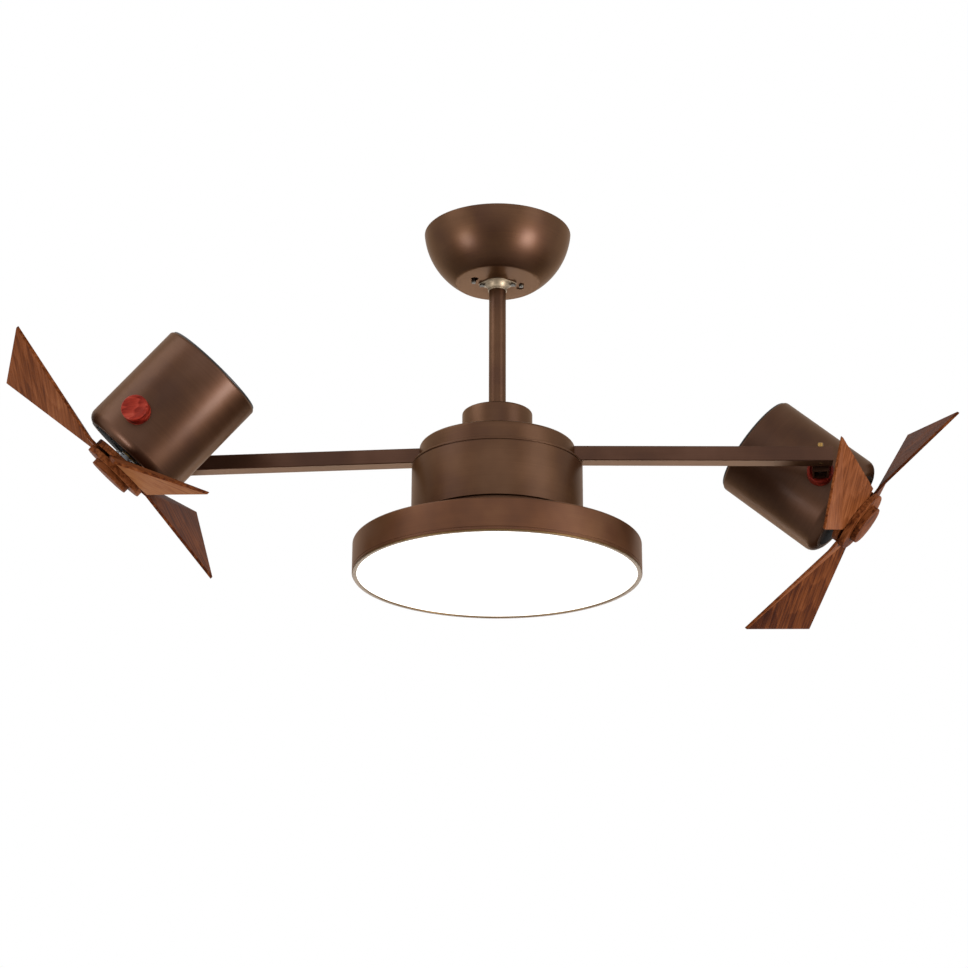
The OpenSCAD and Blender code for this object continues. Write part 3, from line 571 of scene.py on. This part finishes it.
def makeCollarPlate(shape):
    clearSelection()
    rounds = []
    for x, radius in ((0, shape["middle"]), (-shape["earOut"], shape["earRadius"]),
                      (shape["earOut"], shape["earRadius"])):
        bpy.ops.mesh.primitive_cylinder_add(
            vertices=96, radius=radius / 1000, depth=shape["plate"] / 1000,
            location=(x / 1000, 0, (canopyLow - shape["plate"] / 2) / 1000))
        rounds.append(bpy.context.object)
    for piece in rounds:
        piece.select_set(True)
    bpy.ops.object.join()
    plate = bpy.context.object
    bpy.ops.object.transform_apply(location=True, rotation=True, scale=True)
    bpy.ops.object.mode_set(mode="EDIT")
    bpy.ops.mesh.select_all(action="SELECT")
    bpy.ops.mesh.convex_hull()
    bpy.ops.mesh.select_all(action="SELECT")
    bpy.ops.mesh.dissolve_limited(angle_limit=radians(shape["flatWithin"]))
    tidyMesh()
    applied(plate, "BEVEL", width=shape["plateEdge"] / 1000, segments=2, limit_method="ANGLE",
            angle_limit=radians(shape["bevelAbove"]))
    return plate


def makeTrumpet(shape):
    low, lip, steps = canopyLow - shape["high"], shape["lip"], shape["steps"]
    flare = [(lip + (shape["flare"] - lip) * (k / steps) ** shape["bend"],
              low + shape["lipHigh"] + shape["flareHigh"] * k / steps, 0) for k in range(steps + 1)]
    return turnOnLathe("collarTrumpet", [
        (shape["bore"], canopyLow, 0), (shape["bore"], low, 0.2), (lip, low, 0.5)] + flare
        + [(shape["flare"], canopyLow, 0)], steps=96)


def makeCollar(shape):
    plate, trumpet = makeCollarPlate(shape), makeTrumpet(shape)
    takeUp(trumpet)
    plate.select_set(True)
    bpy.ops.object.join()
    bpy.ops.object.shade_smooth_by_angle(angle=radians(smoothBelow))
    trumpet.name = trumpet.data.name = "rodCollar"
    return trumpet


fitIn(makeCollar(collarShape), Matrix(), "mounting_and_light", finishes["nickel"], "rod_collar")

# The two screws that hold the canopy, in the narrow ends of its keyholes; heights are from its flat bottom
canopyScrewShape = {"head": 2.7, "headLow": -2.1, "headHigh": -0.1, "edge": 0.9, "shank": 1.6, "top": 8.2}


def makeCanopyScrew(shape):
    low, high, top = [canopyLow + shape[name] for name in ("headLow", "headHigh", "top")]
    return turnOnLathe("canopyScrew", [
        (0, low, 0), (shape["head"], low, shape["edge"]), (shape["head"], high, 0.1),
        (shape["shank"], high, 0), (shape["shank"], top, 0.2), (0, top, 0)], False, 48)


screwMade = makeCanopyScrew(canopyScrewShape)
for name, half in (("left", 180), ("right", 0)):
    keyhole = turned(canopyShape["keyTurn"] + half, "Z")
    fitIn(another(screwMade, name + "CanopyScrew"),
          keyhole @ Matrix.Translation((canopyShape["keyOut"] / 1000, 0, 0)),
          "mounting_and_light", finishes["zinc"], "canopy_screws")
bpy.data.objects.remove(screwMade)
print("canopy, rod and neck made")

# The lamp body: a cylinder on a shallow pan, with a gold bronze ring round the opal lens
housingLow, housingTop = cadEnds("housing")
panLow = cadEnds("light_pan")[0]

# a fine seam runs below the housing's top and a deeper groove above its floor, both lean open a little
housingShape = {
    "radius": 92.7, "throat": 87.9, "floor": 1.5, "hole": 5.2, "topEdge": 0.9, "lean": 0.2,
    "seamFrom": 3.6, "seamTo": 2.2, "seamDeep": 1.1,
    "grooveFrom": 21.2, "grooveTo": 25.4, "grooveDeep": 3.5,
}


def makeHousing(shape):
    wall, hole, throat, floor = shape["radius"], shape["hole"], shape["throat"], housingLow + shape["floor"]
    grooveWall, seamWall, lean = wall - shape["grooveDeep"], wall - shape["seamDeep"], shape["lean"]
    grooveLow, grooveHigh = housingLow + shape["grooveFrom"], housingLow + shape["grooveTo"]
    seamLow, seamHigh = housingTop - shape["seamFrom"], housingTop - shape["seamTo"]
    return turnOnLathe("housingCylinder", [
        (hole, housingLow, 0), (wall, housingLow, 0.4),
        (wall, grooveLow, 0.4), (grooveWall, grooveLow + lean, 0.2),
        (grooveWall, grooveHigh - lean, 0.2), (wall, grooveHigh, 0.4),
        (wall, seamLow, 0.3), (seamWall, seamLow + lean, 0.1),
        (seamWall, seamHigh - lean, 0.1), (wall, seamHigh, 0.3),
        (wall, housingTop, shape["topEdge"]), (throat, housingTop, 0.3),
        (throat, floor, 0.6), (hole, floor, 0)])


panShape = {
    "radius": 155, "wall": 1.2, "hole": 5.2, "topEdge": 2.4, "lineFrom": 2, "lineTo": 3.2, "lineDeep": 0.5,
    "lean": 0.2,
}


def makePan(shape):
    outside, inside, roof = shape["radius"], shape["radius"] - shape["wall"], housingLow - shape["wall"]
    lineWall, lean = outside - shape["lineDeep"], shape["lean"]
    lineLow, lineHigh = panLow + shape["lineFrom"], panLow + shape["lineTo"]
    return turnOnLathe("lightPanDish", [
        (shape["hole"], housingLow, 0), (outside, housingLow, shape["topEdge"]),
        (outside, lineHigh, 0.3), (lineWall, lineHigh - lean, 0.1),
        (lineWall, lineLow + lean, 0.1), (outside, lineLow, 0.2),
        (outside, panLow, 0.15), (inside, panLow, 0), (inside, roof, 1.2), (shape["hole"], roof, 0)],
        steps=192)


bezelShape = {
    "outside": 154.4, "inside": 150, "deep": 1.5, "edge": 0.7,
    "flangeOutside": 153.5, "flangeInside": 152.3, "flangeHigh": 8,
}


def makeBezel(shape):
    low, high = panLow - shape["deep"], panLow + shape["flangeHigh"]
    return turnOnLathe("bezelRing", [
        (shape["outside"], low, shape["edge"]), (shape["outside"], panLow, 0.15),
        (shape["flangeOutside"], panLow, 0), (shape["flangeOutside"], high, 0.3),
        (shape["flangeInside"], high, 0.3), (shape["flangeInside"], panLow, 0),
        (shape["inside"], panLow, 0.3), (shape["inside"], low, shape["edge"])], steps=192)


lensShape = {"radius": 152.2, "thick": 2.6, "edge": 0.3}


def makeLens(shape):
    radius, edge, high = shape["radius"], shape["edge"], panLow + shape["thick"]
    return turnOnLathe("opalLens", [
        (0, panLow, 0), (radius, panLow, edge), (radius, high, edge), (0, high, 0)], False, 192)


for made, finish, slot, part in (
        (makeHousing(housingShape), "bodyBronze", "bronze_paint", "housing"),
        # the pan gets the lighter bronze, a painted light
        (makePan(panShape), "litPanBronze", "bronze_paint", "light_pan"),
        (makeBezel(bezelShape), "gilt", "gilt_bronze", "bezel"),
        (makeLens(lensShape), "opal", "opal", "lens")):
    fitIn(made, Matrix(), "mounting_and_light", finishes[finish], part)
print("lamp body made")

# The fan heads: heights run along the spin axis from the tilt axis, and for knob and ring the other way
capShape = {"radius": 57.8, "seat": -88.9, "rear": -92.7, "edge": 1.2}


def makeRearCap(shape):
    return turnOnLathe("rearCap", [
        (0, shape["rear"], 0), (shape["radius"], shape["rear"], shape["edge"]),
        (shape["radius"], shape["seat"], 0.2), (0, shape["seat"], 0)], False)


drumShape = {
    "radius": 60, "front": 36.3, "rear": -90.9, "frontEdge": 11, "rearEdge": 3, "capGap": 0.1,
    "mouth": 51.8, "lip": 4, "lipEnd": 10, "inside": 56.3,
}


def makeDrum(shape):
    outside, inside, mouth, front = shape["radius"], shape["inside"], shape["mouth"], shape["front"]
    capMouth = capShape["radius"] + shape["capGap"]
    return turnOnLathe("drumShell", [
        (mouth, front, 0.15), (outside, front, shape["frontEdge"]),
        (outside, shape["rear"], shape["rearEdge"]), (capMouth, shape["rear"], 0.2),
        (capMouth, capShape["seat"], 0), (inside, capShape["seat"], 0),
        (inside, front - shape["lipEnd"], 2), (mouth, front - shape["lip"], 0.2)])


# a shallow dish inside a raised trim ring, which is a piece of its own in the drum's colour
plateShape = {
    "bore": 5.3, "rim": 56.2, "back": 28.2, "step": 32.2, "front": 36.5, "trimOutside": 48.3,
    "trimInside": 47.1, "trimProud": 0.25, "dishOut": 22, "dishIn": 19, "dishDeep": 1.6,
}


def makeFrontPlate(shape):
    face, dish = shape["front"] - shape["trimProud"], shape["front"] - shape["dishDeep"]
    return turnOnLathe("frontPlate", [
        (shape["bore"], shape["back"], 0), (shape["rim"], shape["back"], 0.3),
        (shape["rim"], shape["step"], 0.2), (shape["trimInside"], shape["step"], 0),
        (shape["trimInside"], face, 0.2),
        (shape["dishOut"], face, 6), (shape["dishIn"], dish, 3), (shape["bore"], dish, 0)])


def makePlateTrim(shape):
    inside, outside = shape["trimInside"], shape["trimOutside"]
    return turnOnLathe("plateTrim", [
        (inside, shape["step"], 0), (outside, shape["step"], 0.1), (outside, shape["front"], 0.35),
        (inside, shape["front"], 0.25)])


knobShape = {"radius": 14, "top": 73.5, "dish": 1.3, "face": 11.4, "edge": 1.4, "seat": 58.2}


def makeKnob(shape):
    dishR = (shape["face"] ** 2 + shape["dish"] ** 2) / (2 * shape["dish"])
    dishEnd = degrees(atan2(dishR - shape["dish"], shape["face"]))
    dish = arc(0, shape["top"] - shape["dish"] + dishR, dishR, -90, -dishEnd, 10)
    return turnOnLathe("knobCap", dish + [
        (shape["radius"], shape["top"], shape["edge"]), (shape["radius"], shape["seat"], 0.2),
        (0, shape["seat"], 0)], False, 96)


ringShape = {
    "bore": 3.2, "dish": 11.2, "floor": 70.5, "radius": 14.5, "face": 71.95, "edge": 0.9, "seat": 58.2,
}


def makeRing(shape):
    return turnOnLathe("tiltRing", [
        (shape["bore"], shape["floor"], 0), (shape["dish"], shape["floor"], 0.8),
        (shape["dish"], shape["face"], 0.7), (shape["radius"], shape["face"], shape["edge"]),
        (shape["radius"], shape["seat"], 0.2), (shape["bore"], shape["seat"], 0)], steps=96)


# the blades are clamped between two wooden discs, and a wooden cap with a blind hole covers the shaft's end
backDiscShape = {"bore": 5.1, "radius": 34, "low": 42.6, "high": 49.7, "edge": 0.5}
frontDiscShape = {"bore": 5.1, "radius": 35.5, "low": 52.9, "high": 59.4, "edge": 0.6}
endCapShape = {"hole": 5.1, "holeHigh": 62.45, "radius": 22.8, "high": 66.2, "edge": 0.8}


def makeDisc(name, shape):
    bore, radius, low, high, edge = [shape[size] for size in ("bore", "radius", "low", "high", "edge")]
    return turnOnLathe(name, [
        (bore, low, 0), (radius, low, edge), (radius, high, edge), (bore, high, 0)], steps=120)


def makeEndCap(shape):
    low, high = frontDiscShape["high"], shape["high"]
    return turnOnLathe("endCap", [
        (0, shape["holeHigh"], 0), (shape["hole"], shape["holeHigh"], 0), (shape["hole"], low, 0),
        (shape["radius"], low, 0.4), (shape["radius"], high, shape["edge"]), (0, high, 0)], False, 96)


# the blades: a flat root that fills the gap between the discs, then two facets folded on the line from
# root to tip; roots are (radius, turn) and tips (radius, turn, rise)
rootLow, rootHigh = backDiscShape["high"], frontDiscShape["low"]
# the blades' thin edges are given a painted shade, darker than their faces
bladeShape = {
    "rootIn": 6.5, "rootFrom": -30, "rootTo": 80, "rearRoot": (49.6, -28.9), "frontRoot": (41.4, 47.7),
    "rearTip": (177.7, 0, -33.1), "frontTip": (176.1, 29.3, 10.8), "edge": 0.55, "paintedEdgeShade": -0.06,
    "bevelAbove": 50, "smoothBelow": 25,
}


def polar(radius, turn, up):
    return Vector((radius * cos(radians(turn)), radius * sin(radians(turn)), up)) / 1000


def bladeCorners(shape, up):
    rootA, rootB = polar(*shape["rearRoot"], up), polar(*shape["frontRoot"], up)
    tips = [polar(radius, turn, up + rise) for radius, turn, rise in (shape["rearTip"], shape["frontTip"])]
    return rootA, rootB, *tips


def makeBlade(shape):
    inA, inB = [polar(shape["rootIn"], shape[turn], rootLow) for turn in ("rootFrom", "rootTo")]
    rootA, rootB, tipA, tipB = bladeCorners(shape, rootLow)
    drawnOut = Vector((0.05, 0, 0))
    clearSelection()
    bpy.ops.mesh.primitive_plane_add(size=0.02)
    piece = bpy.context.object
    piece.name = piece.data.name = "bladeBoard"
    bpy.ops.object.mode_set(mode="EDIT")
    bpy.ops.mesh.select_mode(type="VERT")
    mesh = bmesh.from_edit_mesh(piece.data)
    corners = sorted(mesh.verts, key=lambda v: atan2(v.co.y, v.co.x))
    for vertex, place in zip(corners, (inA, rootA, rootB, inB)):
        vertex.co = place
    bmesh.update_edit_mesh(piece.data)

    def near(vertex, place):
        return (vertex.co - place).length < 1e-5

    # the outer edge is drawn out, and its two new corners go to the tips
    pickEdges(piece, lambda e: {near(v, rootA) for v in e.verts} == {True, False}
              and {near(v, rootB) for v in e.verts} == {True, False})
    bpy.ops.mesh.extrude_region_move(TRANSFORM_OT_translate={"value": drawnOut})
    mesh = bmesh.from_edit_mesh(piece.data)
    for vertex in mesh.verts:
        if near(vertex, rootA + drawnOut):
            vertex.co = tipA
        elif near(vertex, rootB + drawnOut):
            vertex.co = tipB
    for vertex in mesh.verts:
        vertex.select_set(near(vertex, rootB) or near(vertex, tipA))
    bmesh.update_edit_mesh(piece.data)
    bpy.ops.mesh.vert_connect()
    bpy.ops.mesh.select_all(action="SELECT")
    bpy.ops.mesh.extrude_region_move(TRANSFORM_OT_translate={"value": (0, 0, (rootHigh - rootLow) / 1000)})
    tidyMesh()
    applied(piece, "BEVEL", width=shape["edge"] / 1000, segments=3, limit_method="ANGLE",
            angle_limit=radians(shape["bevelAbove"]))
    takeUp(piece)
    bpy.ops.object.shade_smooth_by_angle(angle=radians(shape["smoothBelow"]))
    return piece


# each blade's fibres: degrees from its fold, where its board was cut, and the painted light on its two
# facets
bladeGrain = {
    (-1, "a"): (176, (0.31, 0.02, 0.01), (0.26, -0.04)), (-1, "b"): (140, (0.57, 0.05, 0.02), (0.03, 0.03)),
    (-1, "c"): (78, (0.83, 0.01, 0.03), (-0.06, -0.06)), (1, "a"): (44, (1.21, 0.03, 0.012), (0.1, -0.12)),
    (1, "b"): (52, (1.53, -0.01, 0.022), (-0.04, -0.04)), (1, "c"): (164, (1.87, 0.04, 0.01), (0.03, 0.06)),
}


def noteBladeGrain(piece, shape, turn, shift, light):
    # both facets carry one grain, as if a flat board had been folded
    rootA, rootB, tipA, tipB = bladeCorners(shape, (rootLow + rootHigh) / 2)
    fold = (tipA - rootB).normalized()
    inner = (rootB - rootA).cross(tipA - rootA).normalized()
    outer = (tipB - rootB).cross(tipA - rootB).normalized()
    outerSide = fold.cross(tipB - rootB).z
    piece.data.attributes.new("grain", "FLOAT_VECTOR", "CORNER")
    piece.data.attributes.new("paintedLight", "FLOAT", "CORNER")
    grain, paintedLight = piece.data.attributes["grain"], piece.data.attributes["paintedLight"]
    for face in piece.data.polygons:
        isOuter = fold.cross(face.center - rootB).z * outerSide > 0
        normal = outer if isOuter else inner
        normal = normal if normal.z > 0 else -normal
        along = Matrix.Rotation(radians(turn), 3, normal) @ fold
        across = normal.cross(along)
        isEdge = abs(face.normal.dot(normal)) < 0.6
        for corner in face.loop_indices:
            at = piece.data.vertices[piece.data.loops[corner].vertex_index].co - rootB
            seen = Vector((along.dot(at), across.dot(at), normal.dot(at)))
            grain.data[corner].vector = seen + Vector(shift)
            # each facet gets its painted light, lighter or darker, and the thin edges a painted shade on
            # top
            paintedLight.data[corner].value = light[isOuter] + (shape["paintedEdgeShade"] if isEdge else 0)


# each is made once and copied for both heads
headMade = {
    "drum": makeDrum(drumShape), "rearCap": makeRearCap(capShape), "knob": makeKnob(knobShape),
    "ring": makeRing(ringShape), "plate": makeFrontPlate(plateShape), "trim": makePlateTrim(plateShape),
    "backDisc": makeDisc("backDisc", backDiscShape), "frontDisc": makeDisc("frontDisc", frontDiscShape),
    "endCap": makeEndCap(endCapShape), "blade": makeBlade(bladeShape),
}

# how each turned wooden piece was cut: the fibres' turn on the left and right head, the place in the board
# in metres (the other way along it on the left head) and how far the board was tipped
woodCut = {
    "knob": {-1: 50, 1: 60, "shift": (0.1, 0.004, 0), "tip": 0},
    "ring": {-1: 30, 1: 30, "shift": (0.2, 0.003, 0.001), "tip": 4},
    "backDisc": {-1: 70, 1: 70, "shift": (0.4, 0.02, 0.01), "tip": 3},
    "frontDisc": {-1: 25, 1: 25, "shift": (0.4, 0.02, 0.01), "tip": 3},
    "endCap": {-1: -35, 1: -35, "shift": (0.4, 0.02, 0.01), "tip": 3},
}


def woodenPiece(kind, side, name):
    piece, cut = another(headMade[kind], name), woodCut[kind]
    along, across, deep = cut["shift"]
    noteWoodGrain(piece, cut[side], (along * side, across, deep), cut["tip"])
    return piece


def makeHead(side, name):
    place, body = headPlace(side), name + "_head"
    for kind, pieceName, finish, slot, part in (
            # the drum and trim ring get the darker bronze, a painted shade
            ("drum", "Drum", "shadedDrumBronze", "bronze_paint", "_drum"),
            ("plate", "FrontPlate", "darkPlate", "light_alloy", "_front_plate"),
            ("trim", "PlateTrim", "shadedDrumBronze", "light_alloy", "_front_plate"),
            ("rearCap", "RearCap", "black", "black_plastic", "_rear_cap")):
        fitIn(another(headMade[kind], name + pieceName), place, body, finishes[finish], name + part)
    for kind, pieceName, quarter, part in (
            ("knob", "Knob", -90, "_knob"), ("ring", "TiltRing", 90, "_tilt_disc")):
        fitIn(woodenPiece(kind, side, name + pieceName), place @ turned(quarter, "X"), body,
              finishes["cherry"], name + part)


def makeRotor(side, name):
    place, body = rotorPlace(side), name + "_rotor"
    for kind, pieceName, part in (
            ("backDisc", "BackDisc", "_back_disc"), ("frontDisc", "FrontDisc", "_front_disc"),
            ("endCap", "EndCap", "_end_cap")):
        fitIn(woodenPiece(kind, side, name + pieceName), place, body, finishes["walnut"],
              name + part)
    for letter, turn in (("a", 0), ("b", 120), ("c", 240)):
        blade = another(headMade["blade"], name + "Blade" + letter.upper())
        noteBladeGrain(blade, bladeShape, *bladeGrain[side, letter])
        fitIn(blade, place @ turned(turn, "Z"), body, finishes["walnut"],
              name + "_blade_" + letter)


for side, name in sideName.items():
    makeHead(side, name)
    makeRotor(side, name)
for made in headMade.values():
    bpy.data.objects.remove(made)
print("heads and blades made")

# Brass caps on top of the arm ends, over the pivots of the heads
pivotShape = {
    "shank": 2.45, "low": -7.9, "flange": 3.6, "flangeLow": 8.36, "flangeHigh": 9.3,
    "cap": 3.1, "capLow": 9.5, "capHigh": 14.9, "dome": 1.2, "top": 15.4,
}


def makePivotCap(shape):
    return turnOnLathe("pivotCap", [
        (0, shape["low"], 0), (shape["shank"], shape["low"], 0.2), (shape["shank"], shape["flangeLow"], 0),
        (shape["flange"], shape["flangeLow"], 0.2), (shape["flange"], shape["flangeHigh"], 0.25),
        (shape["cap"], shape["capLow"], 0.1), (shape["cap"], shape["capHigh"], 0.9),
        (shape["dome"], shape["top"], 0.4), (0, shape["top"], 0)], False, 64)


pivotMade = makePivotCap(pivotShape)
for side, name in sideName.items():
    fitIn(another(pivotMade, name + "PivotCap"),
          armPlace(side) @ Matrix.Translation((headStand["swivelReach"], 0, 0)), "turning_arms",
          finishes["brass"], "swivel_screws")
bpy.data.objects.remove(pivotMade)
print("pivot caps made")

# Parts whose solids are kept as they are, each with its finish
keptParts = {
    "coverBronze": ["hub_cover"],
    # the arms and brackets get the darker bronze, a painted shade
    "shadedArmBronze": ["left_arm", "right_arm", "left_bracket", "right_bracket"],
    "zinc": ["ceiling_bracket", "collar_screws", "arm_screws", "spindle_nut",
             "left_tilt_bolt", "right_tilt_bolt"],
    "steel": ["cross_pins", "coupling", "spindle", "arm_hub", "left_shaft", "right_shaft"],
    "brass": ["hub_bushing", "left_bushings", "right_bushings"],
    "black": ["hanging_ball", "slip_ring", "led_driver"],
    "board": ["led_board"],
    "winding": ["left_stator", "right_stator"],
    "magnet": ["left_magnet", "right_magnet"],
}
for finishName, parts in keptParts.items():
    for part in parts:
        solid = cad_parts[part]
        if not solid.material_slots:
            solid.data.materials.append(finishes[finishName])
        for materialSlot in solid.material_slots:
            materialSlot.material = finishes[finishName]
print("solids kept as they are:", sum(len(parts) for parts in keptParts.values()))

# Floor, lamps and the white room
studio = {
    "floor": -3.4, "floorSize": 16, "fill": 0.36, "aim": -0.3,
    "lamps": [
        {"name": "keyRight", "turn": 60, "up": -1.22, "away": 2.6, "wide": 0.9, "tall": 1.0, "power": 80},
        {"name": "keyLeft", "turn": -57, "up": -1.26, "away": 2.6, "wide": 0.8, "tall": 1.0, "power": 42},
        {"name": "bankRight", "turn": 58, "up": 0.8, "away": 2.6, "wide": 1.3, "tall": 1.6, "power": 13},
        {"name": "bankLeft", "turn": -60, "up": 0.8, "away": 2.6, "wide": 1.3, "tall": 1.6, "power": 5},
        {"name": "bankFront", "turn": 0, "up": 0.9, "away": 2.6, "wide": 2.2, "tall": 1.3, "power": 6},
        {"name": "topLeft", "turn": -70, "up": 1.9, "away": 2.2, "wide": 1.8, "tall": 1.4, "power": 22},
        {"name": "lowBack", "turn": 180, "up": -1.0, "away": 2.6, "wide": 2.8, "tall": 0.5, "power": 17},
    ],
}


def makeStudio(plan):
    clearSelection()
    bpy.ops.mesh.primitive_grid_add(x_subdivisions=8, y_subdivisions=8, size=plan["floorSize"],
                                    location=(0, 0, plan["floor"]))
    floor = bpy.context.object
    floor.name = "paleFloor"
    floor.data.materials.append(plainFinish(
        "paleFloorPaint", ("e6e5e2", "eceae7"), metal=0, rough=(0.7, 0.8), grainSize=3, bump=0.02))
    middle = Vector((0, 0, plan["aim"]))
    for lamp in plan["lamps"]:
        light = bpy.data.lights.new(lamp["name"], "AREA")
        light.shape = "RECTANGLE"
        light.size, light.size_y, light.energy = lamp["wide"], lamp["tall"], lamp["power"]
        holder = bpy.data.objects.new(lamp["name"], light)
        bpy.context.scene.collection.objects.link(holder)
        turn = radians(lamp["turn"])
        away = Vector((sin(turn), -cos(turn), 0)) * lamp["away"]
        holder.location = middle + away + Vector((0, 0, lamp["up"]))
        holder.visible_camera = False
        holder.rotation_euler = (middle - holder.location).to_track_quat("-Z", "Y").to_euler()
    world = bpy.data.worlds.new("whiteRoom")
    world.use_nodes = True
    tree = world.node_tree
    ground = tree.nodes["Background"]
    ground.inputs["Color"].default_value = (1, 1, 1, 1)
    rays = node(tree, "LightPath")
    seen = sums(tree, "MAXIMUM", rays.outputs["Is Camera Ray"], rays.outputs["Is Glossy Ray"])
    seen = sums(tree, "MAXIMUM", seen, rays.outputs["Is Transmission Ray"])
    tree.links.new(blended(tree, seen, plan["fill"], 1), ground.inputs["Strength"])
    bpy.context.scene.world = world
    bpy.context.scene.view_settings.view_transform = "Standard"


makeStudio(studio)
print("floor and lamps placed:", len(studio["lamps"]))
